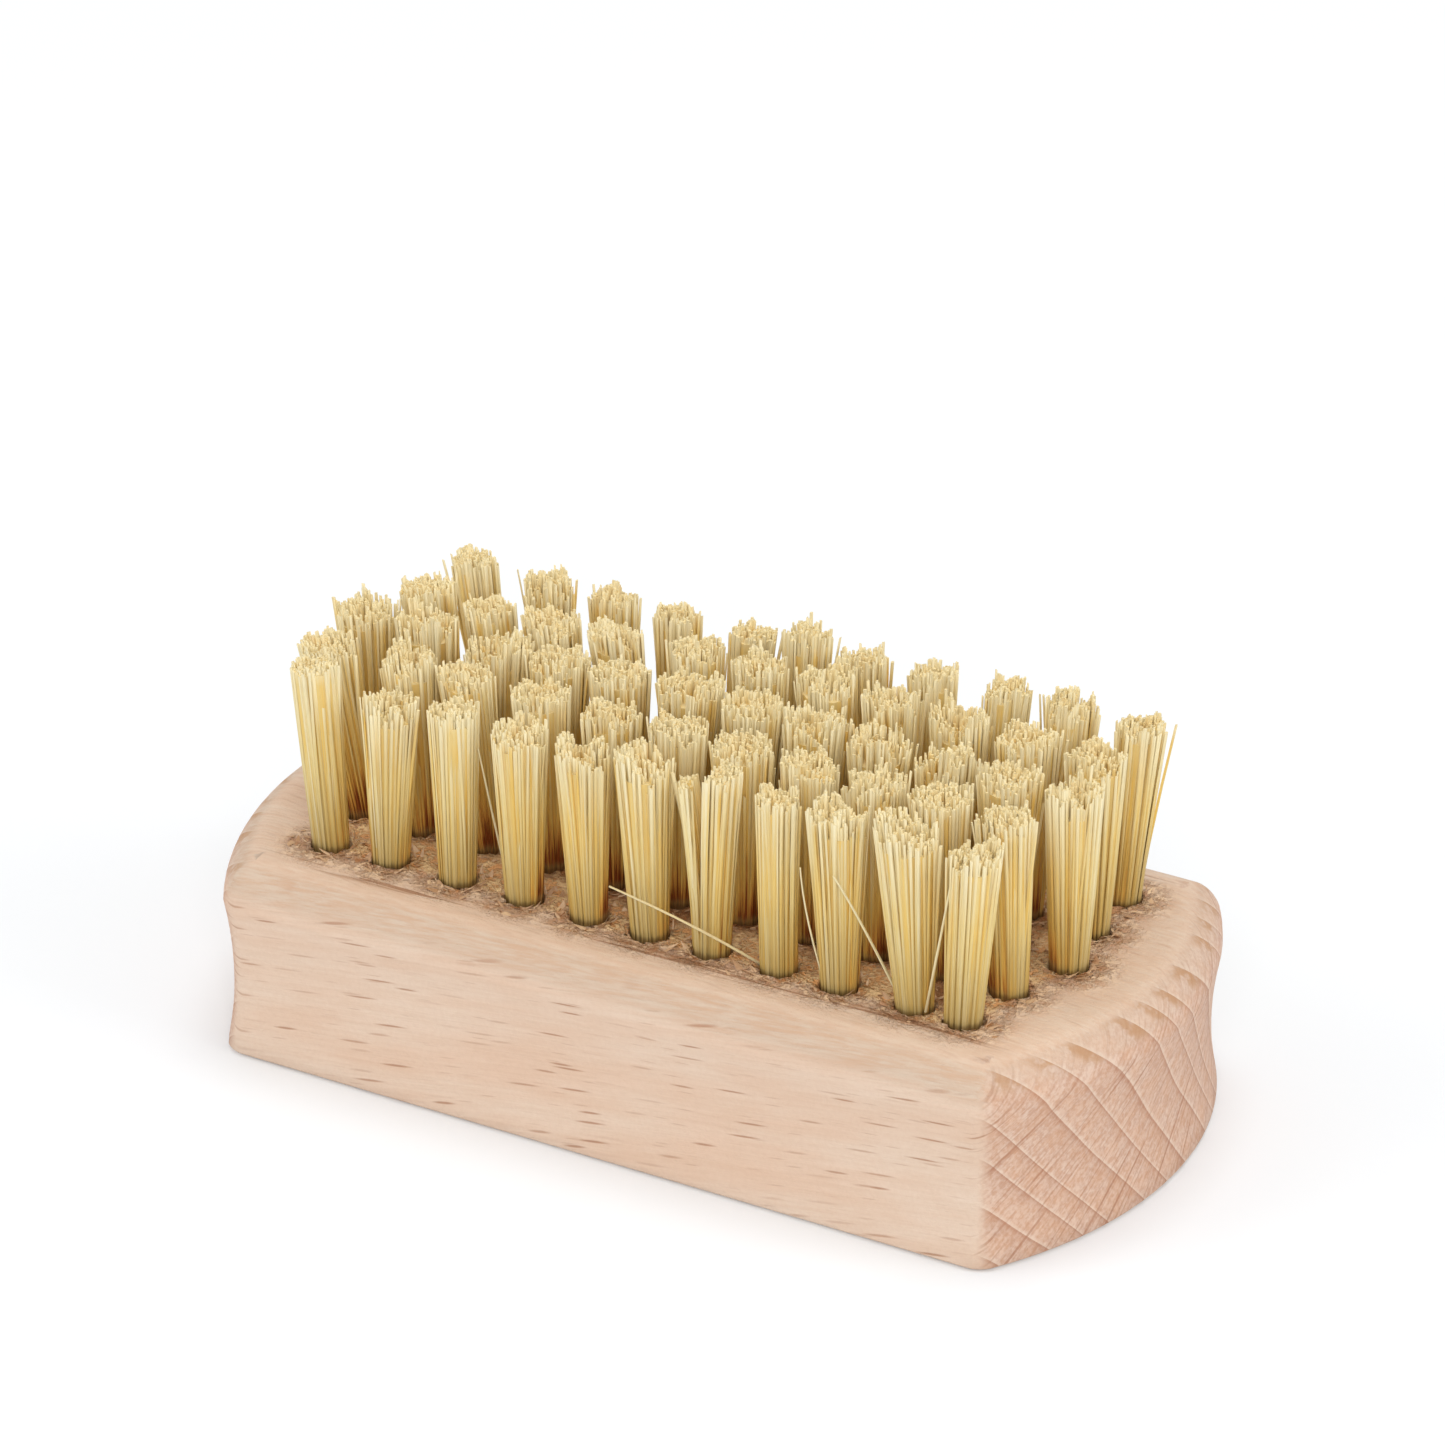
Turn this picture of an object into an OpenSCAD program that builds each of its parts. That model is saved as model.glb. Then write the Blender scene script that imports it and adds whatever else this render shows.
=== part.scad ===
// Wooden nail brush: a drilled beech block, tufts of stiff plant fibre folded
// into its blind holes, and a flat wire anchor across each hole.
// Lengths are in millimetres. The block stands on z = 0, its long side lies
// along X and the bristles point up.

/* [Block] */
// Length over the two rounded ends
block_len = 95; // [90:0.5:110]
// Width across the ridges of the two long sides
block_w = 46; // [43:0.5:56]
// Height of the wood
block_h = 19.8; // [17.8:0.1:28]
// Radius of each rounded end, seen from above
end_r = 40.4; // [34:0.1:60]
// Radius of the four upright corners
corner_r = 3; // [2:0.1:5]
// Radius of the rounded edge round the top
top_r = 4; // [2:0.1:4.6]
// Radius of the small rounding round the underside
foot_r = 0.8; // [0.3:0.1:1.2]
// How deep the finger cove is let into the sides
cove_depth = 0.8; // [0.3:0.1:1.6]
// Height of the cove's deepest line
cove_z = 7.8; // [6.8:0.1:9]

/* [Tuft field] */
// Distance from one row of holes to the next
row_pitch = 6.95; // [6.2:0.05:7.4]
// Distance between holes in the front and back rows
edge_pitch = 6.8; // [6.6:0.05:7.3]
// Distance between holes in the second and fourth rows
inner_pitch = 6.95; // [6.6:0.05:7.3]
// Distance between holes in the middle row
mid_pitch = 6.75; // [6.2:0.05:7.1]

/* [Holes and anchors] */
// Diameter of each drilled hole
hole_d = 4; // [3.4:0.1:4.4]
// Depth of each hole to the shoulder of its drill point
hole_depth = 11; // [9:0.5:13]
// Included angle of the drill point, in degrees
drill_angle = 118; // [90:1:140]
// Thickness of the flat anchor wire
anchor_t = 0.4; // [0.3:0.05:0.6]
// Height of the flat anchor wire
anchor_h = 1.8; // [1.2:0.1:2.4]
// How far each end of an anchor bites into the wood
anchor_bite = 0.45; // [0.2:0.05:0.6]

/* [Bristles] */
// Free height of the bristles above the wood
bristle_h = 18; // [12:0.5:26]
// Thickness of one strand, corner to corner
strand_d = 1.2; // [0.8:0.05:1.2]
// Radius of the circle of strands where they leave the hole
root_r = 1.3; // [1.28:0.01:1.4]
// Radius of the circle of strands at the tips
tip_r = 1.95; // [1.5:0.05:2.2]
// Height to which a tuft stays tightly gathered above the wood
gather_h = 1.2; // [0.4:0.1:3]
// Height of the fold that passes under an anchor
fold_h = 1.7; // [1:0.1:2.4]

/* [Hidden] */
// Holes in each row, from the front row to the back, and the distance between them
row_counts = [11, 11, 12, 11, 11];
row_pitches = [edge_pitch, inner_pitch, mid_pitch, inner_pitch, edge_pitch];
mid_row = 2;
// Strands of a tuft that stand in a ring, round one in the middle
ring_strands = 7;
// The jig sat a little off centre for each row, as shares of the row's pitch
row_shift_shares = [0, -0.07, -0.06, 0.07, 0.13];
// The front row's holes also wander along the row, as shares of the pitch
front_drift_shares = [-0.01, -0.04, 0.04, 0.11, 0.14, 0.09, 0.06, 0.1, 0.03, 0.18, -0.09];
// Lean of each tuft's tip along its row, as shares of the bristles' height
lean_shares = [
    [-0.07, 0.03, 0.01, -0.01, -0.02, -0.03, 0.02, -0.01, 0, -0.05, 0.06],
    [-0.18, -0.06, -0.1, -0.04, -0.01, 0.01, 0.01, 0.01, 0, -0.01, -0.01],
    [-0.07, -0.06, -0.01, -0.01, -0.01, 0.03, 0.03, 0.03, 0.02, 0.03, 0.02, 0.01],
    [-0.13, -0.13, -0.13, -0.13, -0.02, -0.02, -0.01, -0.02, -0.01, 0, 0.01],
    [-0.14, -0.04, 0, -0.02, 0.08, 0.02, -0.02, 0.01, 0.06, 0.05, 0.08]];
// How much longer or shorter each tuft was trimmed, as shares of the same height
trim_shares = [
    [0.04, -0.06, -0.01, -0.01, -0.04, 0.01, 0.04, 0.01, 0, 0, -0.02],
    [-0.05, -0.02, -0.01, -0.01, -0.01, 0.01, 0.01, 0, 0, 0, -0.01],
    [-0.03, 0.01, -0.04, -0.01, 0, 0.03, 0.02, 0.03, 0.01, 0.01, 0, -0.01],
    [-0.02, -0.04, -0.03, -0.02, 0.03, 0.04, 0.04, 0.02, 0.02, 0.01, 0.02],
    [-0.02, -0.04, -0.03, -0.03, -0.02, 0.04, -0.01, 0.01, 0.04, 0.03, 0.03]];
// Outward lean of the bristles across the block, as a share of their place in it
splay_share = 0.02;
// Raggedness of a tuft's tips, as a share of the bristles' height
ragged_share = 0.03;
// Steps in degrees that spread the small differences over rows, tufts and strands
row_step = 97;
tuft_step = 61;
strand_step = 137;

// Clearance between a tuft and its hole
tuft_clear = 0.06;
// Clearance between an anchor and the wood or fibres that it is pressed into
anchor_clear = 0.03;
// How far a strand starts inside the gathered bundle
strand_root = 0.8;
// Chamfer round the fold of a bundle
fold_chamfer = 0.7;
// The corner rounding stands this much proud, so that it crosses the sides
corner_ease = 0.02;
// Overrun of every cut
over = 2;
big_fn = 180;
small_fn = 48;

half_w = block_w / 2;
end_x = block_len / 2 - end_r;
corner_y = half_w - corner_r;
corner_x = end_x + sqrt(pow(end_r - corner_r, 2) - pow(corner_y, 2));
corner_angle = atan2(corner_y, corner_x - end_x);
ridge_z = block_h - top_r;
cove_r = (pow(ridge_z - cove_z, 2) + pow(cove_depth, 2)) / (2 * cove_depth);
hole_r = hole_d / 2;
hole_floor = block_h - hole_depth;
drill_tip = hole_r / tan(drill_angle / 2);
tuft_r = hole_r - tuft_clear;
tuft_floor = hole_floor + tuft_clear;
anchor_z = tuft_floor + fold_h;

function drift(row, i) = row_shift_shares[row] + (row == 0 ? front_drift_shares[i] : 0);
function hole_x(row, i) = (i - (row_counts[row] - 1) / 2 + drift(row, i)) * row_pitches[row];
function hole_y(row) = (row - mid_row) * row_pitch;
function two_digits(n) = n < 10 ? str("0", n) : str(n);
function tuft_name(row, i) = str("tuft_r", row + 1, "_", two_digits(i + 1));

// Runs its children at the mouth of every hole
module at_holes() {
    for (row = [0 : len(row_counts) - 1])
        for (i = [0 : row_counts[row] - 1])
            translate([hole_x(row, i), hole_y(row), block_h])
                children();
}

// The waste outside a quarter circle, which rounds a square corner at the origin
module corner_waste(r) {
    translate([-r, -r])
        difference() {
            square(r + over);
            circle(r, $fn = big_fn);
        }
}

// Half of the block's section, from its axis out to the ridge at the given reach
module half_section(reach) {
    difference() {
        square([reach, block_h]);
        translate([reach - cove_depth + cove_r, cove_z])
            circle(cove_r, $fn = big_fn);
        translate([reach, block_h])
            corner_waste(top_r);
        translate([reach, 0])
            mirror([0, 1])
                corner_waste(foot_r);
    }
}

// Straight bar with the block's section
module bar() {
    rotate([90, 0, 90])
        linear_extrude(block_len, center = true) {
            half_section(half_w);
            mirror([1, 0])
                half_section(half_w);
        }
}

// What is sawn away beyond one rounded end
module end_waste() {
    translate([end_x, 0, 0])
        difference() {
            translate([corner_x - end_x, -block_w, -over])
                cube([block_len, 2 * block_w, block_h + 2 * over]);
            rotate_extrude($fn = big_fn)
                half_section(end_r);
        }
}

// What is taken off one upright corner
module corner_cut() {
    arm = corner_r + over;
    difference() {
        translate([0, 0, -over])
            linear_extrude(block_h + 2 * over)
                polygon([[0, 0], [0, arm], [arm, arm], [arm * cos(corner_angle), arm * sin(corner_angle)]]);
        rotate_extrude($fn = big_fn)
            half_section(corner_r + corner_ease);
    }
}

module hole() {
    rotate_extrude($fn = small_fn)
        polygon([[0, -hole_depth - drill_tip], [hole_r, -hole_depth], [hole_r, over], [0, over]]);
}

// Flat wire of an anchor, grown all round by a clearance
module anchor_wire(grow) {
    span = hole_d + 2 * anchor_bite;
    translate([0, 0, anchor_z - block_h + anchor_h / 2])
        cube([anchor_t + 2 * grow, span + 2 * grow, anchor_h + 2 * grow], center = true);
}

module block() {
    color("burlywood")
        difference() {
            bar();
            for (side = [0, 1])
                mirror([side, 0, 0])
                    end_waste();
            for (side = [0, 1], flank = [0, 1])
                mirror([side, 0, 0])
                    mirror([0, flank, 0])
                        translate([corner_x, corner_y, 0])
                            corner_cut();
            at_holes()
                hole();
            at_holes()
                anchor_wire(anchor_clear);
        }
}

module anchors() {
    color("silver")
        at_holes()
            anchor_wire(0);
}

// One four-sided strand from a root point to a tip point
module strand(root, tip) {
    half = strand_d / 2;
    turn = atan2(root[1], root[0]);
    ring = [for (k = [0 : 3]) [half * cos(turn + 90 * k), half * sin(turn + 90 * k), 0]];
    polyhedron(
        points = concat([for (p = ring) root + p], [for (p = ring) tip + p]),
        faces = concat(
            [[0, 1, 2], [0, 2, 3], [6, 5, 4], [7, 6, 4]],
            [for (k = [0 : 3]) [k, k + 4, (k + 1) % 4]],
            [for (k = [0 : 3]) [(k + 1) % 4, k + 4, (k + 1) % 4 + 4]]));
}

// The folded bundle inside the hole, gathered a little way above it
module bundle() {
    low = tuft_floor - block_h;
    difference() {
        rotate_extrude($fn = small_fn)
            polygon([[0, low], [tuft_r - fold_chamfer, low], [tuft_r, low + fold_chamfer],
                [tuft_r, gather_h], [0, gather_h]]);
        anchor_wire(anchor_clear);
    }
}

module tuft(row, i) {
    phase = row_step * row + tuft_step * i;
    tip_x = lean_shares[row][i] * bristle_h;
    tip_y = splay_share * hole_y(row);
    color("khaki")
        translate([hole_x(row, i), hole_y(row), block_h]) {
            bundle();
            for (k = [0 : ring_strands]) {
                out = k == ring_strands ? 0 : 1;
                turn = 360 * k / ring_strands + phase;
                aim = [cos(turn) * out, sin(turn) * out, 0];
                high = bristle_h * (1 + trim_shares[row][i] + ragged_share * sin(strand_step * k + phase));
                strand(root_r * aim + [0, 0, gather_h - strand_root],
                    tip_r * aim + [tip_x, tip_y, high]);
            }
        }
}

block();
anchors();
for (row = [0 : len(row_counts) - 1])
    for (i = [0 : row_counts[row] - 1])
        tuft(row, i);
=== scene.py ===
"""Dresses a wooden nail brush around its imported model.

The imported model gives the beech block, its 56 tufts and the wire anchors that
hold them. This script keeps every size and place of that model. It gives the
block its grain and the ragged mouths of its drilled holes, builds the plant
fibres of each tuft one by one, and adds the torn wood and the loose fibres
that a drilled brush has. Lengths are in metres, and MM turns millimetres into
them. Materials work in millimetres, because grain is easier to read that way.
"""

from __future__ import annotations

import logging
import math
import random
from dataclasses import dataclass, field
from enum import Enum
from typing import Callable, Iterable, Sequence, Union

import bmesh
import bpy
from bmesh.types import BMEdge, BMesh, BMFace, BMVert
from bpy.types import ID, Material, Mesh, Node, NodeSocket, NodeTree, Object, bpy_prop_collection
from mathutils import Matrix, Vector, noise

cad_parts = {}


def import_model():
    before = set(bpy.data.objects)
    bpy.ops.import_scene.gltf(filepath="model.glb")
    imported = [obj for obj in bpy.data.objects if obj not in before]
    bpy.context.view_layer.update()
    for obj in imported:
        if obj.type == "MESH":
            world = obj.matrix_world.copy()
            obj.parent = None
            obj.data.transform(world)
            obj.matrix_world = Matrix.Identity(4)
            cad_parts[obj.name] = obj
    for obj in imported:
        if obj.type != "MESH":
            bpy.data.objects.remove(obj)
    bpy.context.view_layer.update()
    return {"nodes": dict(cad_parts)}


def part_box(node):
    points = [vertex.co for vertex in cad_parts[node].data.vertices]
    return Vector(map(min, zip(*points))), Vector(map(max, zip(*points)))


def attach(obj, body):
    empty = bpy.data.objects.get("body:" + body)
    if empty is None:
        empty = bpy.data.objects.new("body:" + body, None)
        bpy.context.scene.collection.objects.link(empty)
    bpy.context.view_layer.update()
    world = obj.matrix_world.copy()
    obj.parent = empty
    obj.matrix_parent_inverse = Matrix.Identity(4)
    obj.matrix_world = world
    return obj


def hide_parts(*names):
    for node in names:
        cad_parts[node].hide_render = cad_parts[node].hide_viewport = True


LOG = logging.getLogger("nail_brush")
MM = 0.001
UP = Vector((0.0, 0.0, 1.0))
BODY = "root"
# Vector noise starts from the clock unless it is given a seed
NOISE_SEED = 7
GOLDEN_ANGLE = math.pi * (3.0 - math.sqrt(5.0))
# The angle at which a cut end stays sharp, and the share of a strand above which its end starts
CUT_ANGLE = math.radians(80.0)
TIP_SHARE = 0.99
# How quickly the painted shade between tufts fades towards the tips
SHADE_FADE = 2.5
# How thick a slice of a tuft its root is read from, and the share of its height above which its tips lie
FOOT_SLICE = 0.05 * MM
TIPS_FROM = 0.7
# How far from a cutting plane a point still counts as on it
CUT_SLACK = 1e-7

Colour = tuple[float, float, float, float]
Span = tuple[float, float, float, float]
Triple = tuple[float, float, float]
Pair = tuple[float, float]
Input = Union[float, Sequence[float], NodeSocket]


class Slot(Enum):
    """The material slots that the new pieces take."""

    BEECH = "beech"
    BRISTLE = "bristle"


def paint(red: int, green: int, blue: int) -> Colour:
    """Turns a colour as a screen shows it into the linear values that shaders use.

    Args:
        red: Red from 0 to 255.
        green: Green from 0 to 255.
        blue: Blue from 0 to 255.

    Returns:
        The linear colour with an alpha of one.
    """
    shares = [value / 255.0 for value in (red, green, blue)]
    linear = [s / 12.92 if s <= 0.04045 else ((s + 0.055) / 1.055) ** 2.4 for s in shares]
    return (linear[0], linear[1], linear[2], 1.0)


def smooth_step(value: float, low: float, high: float) -> float:
    """Rises gently from 0 at low to 1 at high."""
    share = min(max((value - low) / (high - low), 0.0), 1.0)
    return share * share * (3.0 - 2.0 * share)


class ShaderGraph:
    """Adds and links the nodes of one shader tree."""

    def __init__(self, tree: NodeTree) -> None:
        """Starts on the emptied tree of a material, of the world or of a node group."""
        self.tree = tree
        tree.nodes.clear()

    def add(self, kind: str, inputs: dict[str | int, Input] | None = None, **settings: object) -> Node:
        """Adds a node and fills its inputs.

        Args:
            kind: The node's Blender type.
            inputs: A value or a socket to link for each input, by name or number.
            settings: Properties of the node itself.

        Returns:
            The new node.
        """
        node = self.tree.nodes.new(kind)
        for name, setting in settings.items():
            setattr(node, name, setting)
        for key, value in (inputs or {}).items():
            self.fill(node.inputs[key], value)
        return node

    def fill(self, socket: NodeSocket, value: Input) -> None:
        """Links a socket into an input, or writes a plain value there.

        Args:
            socket: The input.
            value: The socket to link, or the value.
        """
        if isinstance(value, NodeSocket):
            self.tree.links.new(value, socket)
        else:
            socket.default_value = value

    def maths(self, operation: str, *values: Input) -> NodeSocket:
        """Puts numbers through one Math node."""
        return self.add("ShaderNodeMath", dict(enumerate(values)), operation=operation).outputs[0]

    def size(self, value: Input) -> NodeSocket:
        """Drops a number's sign."""
        return self.maths("ABSOLUTE", value)

    def chain(self, operation: str, first: Input, *others: Input) -> Input:
        """Joins numbers by one operation, from left to right.

        Args:
            operation: The Math node's operation.
            first: The first number.
            others: The numbers that follow.

        Returns:
            The result.
        """
        for other in others:
            first = self.maths(operation, first, other)
        return first

    def product(self, *values: Input) -> Input:
        """Multiplies numbers."""
        return self.chain("MULTIPLY", *values)

    def total(self, *values: Input) -> Input:
        """Adds numbers."""
        return self.chain("ADD", *values)

    def most(self, *values: Input) -> Input:
        """Keeps the greatest of some numbers."""
        return self.chain("MAXIMUM", *values)

    def vectors(self, operation: str, *values: Input) -> NodeSocket:
        """Puts vectors through one Vector Math node and returns its vector."""
        return self.add("ShaderNodeVectorMath", dict(enumerate(values)), operation=operation).outputs[0]

    def scale(self, vector: Input, factor: Input) -> NodeSocket:
        """Makes a vector longer or shorter."""
        node = self.add("ShaderNodeVectorMath", {0: vector, "Scale": factor}, operation="SCALE")
        return node.outputs[0]

    def along(self, vector: Input, axis: Vector) -> NodeSocket:
        """Measures how far a place lies along an axis."""
        node = self.add("ShaderNodeVectorMath", {0: vector, 1: tuple(axis)}, operation="DOT_PRODUCT")
        return node.outputs["Value"]

    def combine(self, x: Input, y: Input, z: Input = 0.0) -> NodeSocket:
        """Joins numbers into a vector."""
        return self.add("ShaderNodeCombineXYZ", {0: x, 1: y, 2: z}).outputs[0]

    def stretch(self, parts: Sequence[Input], factors: Triple) -> NodeSocket:
        """Joins three numbers into a vector, each times its own factor."""
        return self.combine(*(self.product(part, factor) for part, factor in zip(parts, factors)))

    def remap(self, value: Input, low: float, high: float, to_low: Input = 0.0,
              to_high: Input = 1.0) -> NodeSocket:
        """Moves a number from one span to another with soft ends, and keeps it inside the new one."""
        inputs = {0: value, 1: low, 2: high, 3: to_low, 4: to_high}
        return self.add("ShaderNodeMapRange", inputs, interpolation_type="SMOOTHSTEP").outputs[0]

    def cloud(self, vector: Input, detail: float = 2.0, roughness: float = 0.5, scale: float = 1.0,
              output: str = "Fac") -> NodeSocket:
        """Adds a cloudy noise, whose output is Fac for a number or Color for three at once."""
        inputs = {"Vector": vector, "Scale": scale, "Detail": detail, "Roughness": roughness}
        return self.add("ShaderNodeTexNoise", inputs).outputs[output]

    def ramp(self, factor: Input, stops: Sequence[tuple[float, Colour]]) -> NodeSocket:
        """Looks a number up in a row of colours.

        Args:
            factor: The number, from 0 to 1.
            stops: The place and the colour of each stop, in order.

        Returns:
            The colour.
        """
        node = self.add("ShaderNodeValToRGB", {0: factor})
        elements = node.color_ramp.elements
        while len(elements) < len(stops):
            elements.new(1.0)
        for element, (place, colour) in zip(elements, stops):
            element.position = place
            element.color = colour
        return node.outputs[0]

    def mix(self, factor: Input, first: Input, second: Input) -> NodeSocket:
        """Mixes two colours by a factor."""
        return self.add("ShaderNodeMix", {0: factor, 6: first, 7: second}, data_type="RGBA").outputs[2]


def grey(value: float) -> Colour:
    """Returns a neutral colour of one linear value."""
    return (value, value, value, 1.0)


class ShaderGroup:
    """A node group under construction, with its own named inputs and outputs."""

    def __init__(self, name: str, inputs: dict[str, float | None], outputs: Sequence[str]) -> None:
        """Makes the group and its sockets.

        Args:
            name: The group's name.
            inputs: Each input's starting value, or None for a vector.
            outputs: The names of the outputs, which are all numbers.
        """
        self.tree = bpy.data.node_groups.new(name, "ShaderNodeTree")
        self.graph = ShaderGraph(self.tree)
        for label, value in inputs.items():
            kind = "NodeSocketVector" if value is None else "NodeSocketFloat"
            socket = self.tree.interface.new_socket(name=label, in_out="INPUT", socket_type=kind)
            if value is not None:
                socket.default_value = value
        for label in outputs:
            self.tree.interface.new_socket(name=label, in_out="OUTPUT", socket_type="NodeSocketFloat")
        self.given = self.graph.add("NodeGroupInput").outputs
        self.results = self.graph.add("NodeGroupOutput").inputs

    def give(self, **results: NodeSocket) -> NodeTree:
        """Links the results to the outputs.

        Args:
            results: The socket for each output, with _ for a space in its name.

        Returns:
            The finished group.
        """
        for label, socket in results.items():
            self.graph.fill(self.results[label.replace("_", " ")], socket)
        return self.tree


@dataclass(frozen=True)
class Rays:
    """One set of rays, cut across: their length and spacing in millimetres, and how thin and dark."""

    length: float
    gap: float
    thin: float
    shift: float
    strength: float = 1.0


@dataclass(frozen=True)
class Sheets:
    """One set of rays, cut lengthwise: their spacing in millimetres, and how thin and dark."""

    gap: float
    thin: float
    strength: float = 1.0


@dataclass(frozen=True)
class Clouds:
    """A cloudy pattern of the wood: how it is stretched, how fine it is, and its darkest and palest value."""

    stretch: Triple
    detail: float
    roughness: float
    low: float
    high: float


@dataclass(frozen=True)
class Grain:
    """How the block was sawn out of the tree, as three axes and the size of its figure.

    The fibres run along the block but rise a little towards its right end, the
    rays run up and back, and the year rings cross them at a right angle. A
    stretch says how fast a pattern changes along fibre, ray and ring, and tones
    run from the start of a year to its end.
    """

    rise: float = math.radians(7.5)
    ray_angle: float = math.radians(39.0)
    ring_width: float = 3.3
    ring_tones: tuple[tuple[float, float], ...] = (
        (0.0, 0.05), (0.4, 0.12), (0.84, 0.36), (0.93, 0.65), (0.97, 1.0), (0.992, 0.9), (1.0, 0.05))
    pale_tones: tuple[tuple[float, float], ...] = ((0.0, 1.0), (0.04, 0.7), (0.1, 0.0), (1.0, 0.0))
    sway_scale: float = 0.045
    sway_detail: float = 1.5
    slow_stretch: Triple = (0.012, 0.1, 0.035)
    slow_sway: float = 0.55
    year_scale: float = 0.15
    year_start: float = 3.7
    year_sway: float = 1.5
    rays: tuple[Rays, ...] = (Rays(19.0, 0.95, 0.11, 0.0), Rays(15.2, 1.14, 0.1, 40.3),
                              Rays(11.0, 0.62, 0.1, 7.3, 0.4))
    sheets: tuple[Sheets, ...] = (Sheets(3.1, 0.055), Sheets(0.85, 0.12, 0.55))
    ray_edge: Pair = (0.3, 1.1)
    ray_tones: Span = (0.05, 0.9, 0.15, 1.0)
    sheet_edge: float = 0.4
    sheet_fade: float = 0.11
    sheet_patch: float = 2.0
    sheet_gaps: Pair = (0.4, 0.6)
    comb: Clouds = Clouds((0.9, 0.55, 3.6), 5.0, 0.62, 0.3, 0.7)
    streak: Clouds = Clouds((0.11, 2.6, 2.6), 4.0, 0.62, 0.3, 0.7)
    patch: Clouds = Clouds((0.045, 0.2, 0.2), 3.0, 0.6, 0.25, 0.75)

    @property
    def fibre(self) -> Vector:
        """The direction of the fibres."""
        return Vector((math.cos(self.rise), 0.0, math.sin(self.rise)))

    @property
    def ray(self) -> Vector:
        """The direction of the rays, from the heart of the tree to its bark."""
        flat = Vector((0.0, math.cos(self.ray_angle), math.sin(self.ray_angle)))
        return (flat - self.fibre * flat.dot(self.fibre)).normalized()

    @property
    def ring(self) -> Vector:
        """The direction along a year ring, square to the other two."""
        return self.fibre.cross(self.ray).normalized()

    def figure(self) -> NodeTree:
        """Builds the figure of beech: year rings, rays, fibre streaks and slow patches.

        Returns:
            A group that reads a place in millimetres and gives masks from 0 to 1.
        """
        group = ShaderGroup("Beech figure", {"Place": None, "Waviness": 1.0},
                            ("Ring", "Pale Line", "Ray", "Broad Ray", "Ray Texture", "Streak", "Patch"))
        graph = group.graph
        place = group.given["Place"]
        sway = graph.cloud(place, self.sway_detail, scale=self.sway_scale, output="Color")
        sway = graph.vectors("SUBTRACT", sway, (0.5, 0.5, 0.5))
        bent = graph.vectors("ADD", place, graph.scale(sway, group.given["Waviness"]))
        length, depth, side = axes = [graph.along(bent, axis) for axis in (self.fibre, self.ray, self.ring)]

        slow = graph.cloud(graph.stretch(axes, self.slow_stretch))
        years = graph.cloud(graph.combine(graph.product(depth, self.year_scale), self.year_start), 1.0)
        rings = graph.total(graph.maths("DIVIDE", depth, self.ring_width),
                            graph.product(slow, self.slow_sway), graph.product(years, self.year_sway))
        phase = graph.maths("FRACT", rings)
        ring, pale = (graph.ramp(phase, [(stop, grey(tone)) for stop, tone in tones])
                      for tones in (self.ring_tones, self.pale_tones))
        short = graph.most(*(self.cut_rays(graph, length, side, rays) for rays in self.rays))
        broad = graph.most(*(self.long_rays(graph, depth, side, sheets) for sheets in self.sheets))
        comb, streak, patch = (
            graph.remap(graph.cloud(graph.stretch(axes, kind.stretch), kind.detail, kind.roughness),
                        kind.low, kind.high) for kind in (self.comb, self.streak, self.patch))
        return group.give(Ring=ring, Pale_Line=pale, Ray=short, Broad_Ray=broad, Ray_Texture=comb,
                          Streak=streak, Patch=patch)

    def cut_rays(self, graph: ShaderGraph, length: Input, side: Input, rays: Rays) -> NodeSocket:
        """Scatters thin rays, each cut off along the fibre at its own place.

        Args:
            graph: The figure's graph.
            length: The place along the fibre.
            side: The place along the ring.
            rays: The sizes of this set.

        Returns:
            A mask from 0 to 1.
        """
        spot = graph.combine(graph.maths("DIVIDE", length, rays.length),
                             graph.total(graph.maths("DIVIDE", side, rays.gap), rays.shift))
        cells = graph.add("ShaderNodeTexVoronoi", {"Vector": spot, "Scale": 1.0},
                          voronoi_dimensions="2D").outputs
        inner, outer = (rays.thin * share for share in self.ray_edge)
        near = graph.remap(cells["Distance"], inner, outer, 1.0, 0.0)
        own = graph.add("ShaderNodeSeparateColor", {0: cells["Color"]}).outputs[0]
        return graph.product(near, graph.remap(own, *self.ray_tones), rays.strength)

    def long_rays(self, graph: ShaderGraph, depth: Input, side: Input, sheets: Sheets) -> NodeSocket:
        """Draws rays as the long lines that end grain shows, fading in and out.

        Args:
            graph: The figure's graph.
            depth: The place along the ray.
            side: The place along the ring.
            sheets: The sizes of this set.

        Returns:
            A mask from 0 to 1.
        """
        spot = graph.maths("DIVIDE", side, sheets.gap)
        lines = graph.add("ShaderNodeTexVoronoi", {"W": spot, "Scale": 1.0},
                          voronoi_dimensions="1D").outputs["Distance"]
        fade = graph.cloud(graph.combine(graph.product(depth, self.sheet_fade),
                                         graph.maths("DIVIDE", side, sheets.gap * self.sheet_patch)), 1.0)
        return graph.product(graph.remap(lines, sheets.thin * self.sheet_edge, sheets.thin, 1.0, 0.0),
                             graph.remap(fade, *self.sheet_gaps), sheets.strength)


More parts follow.
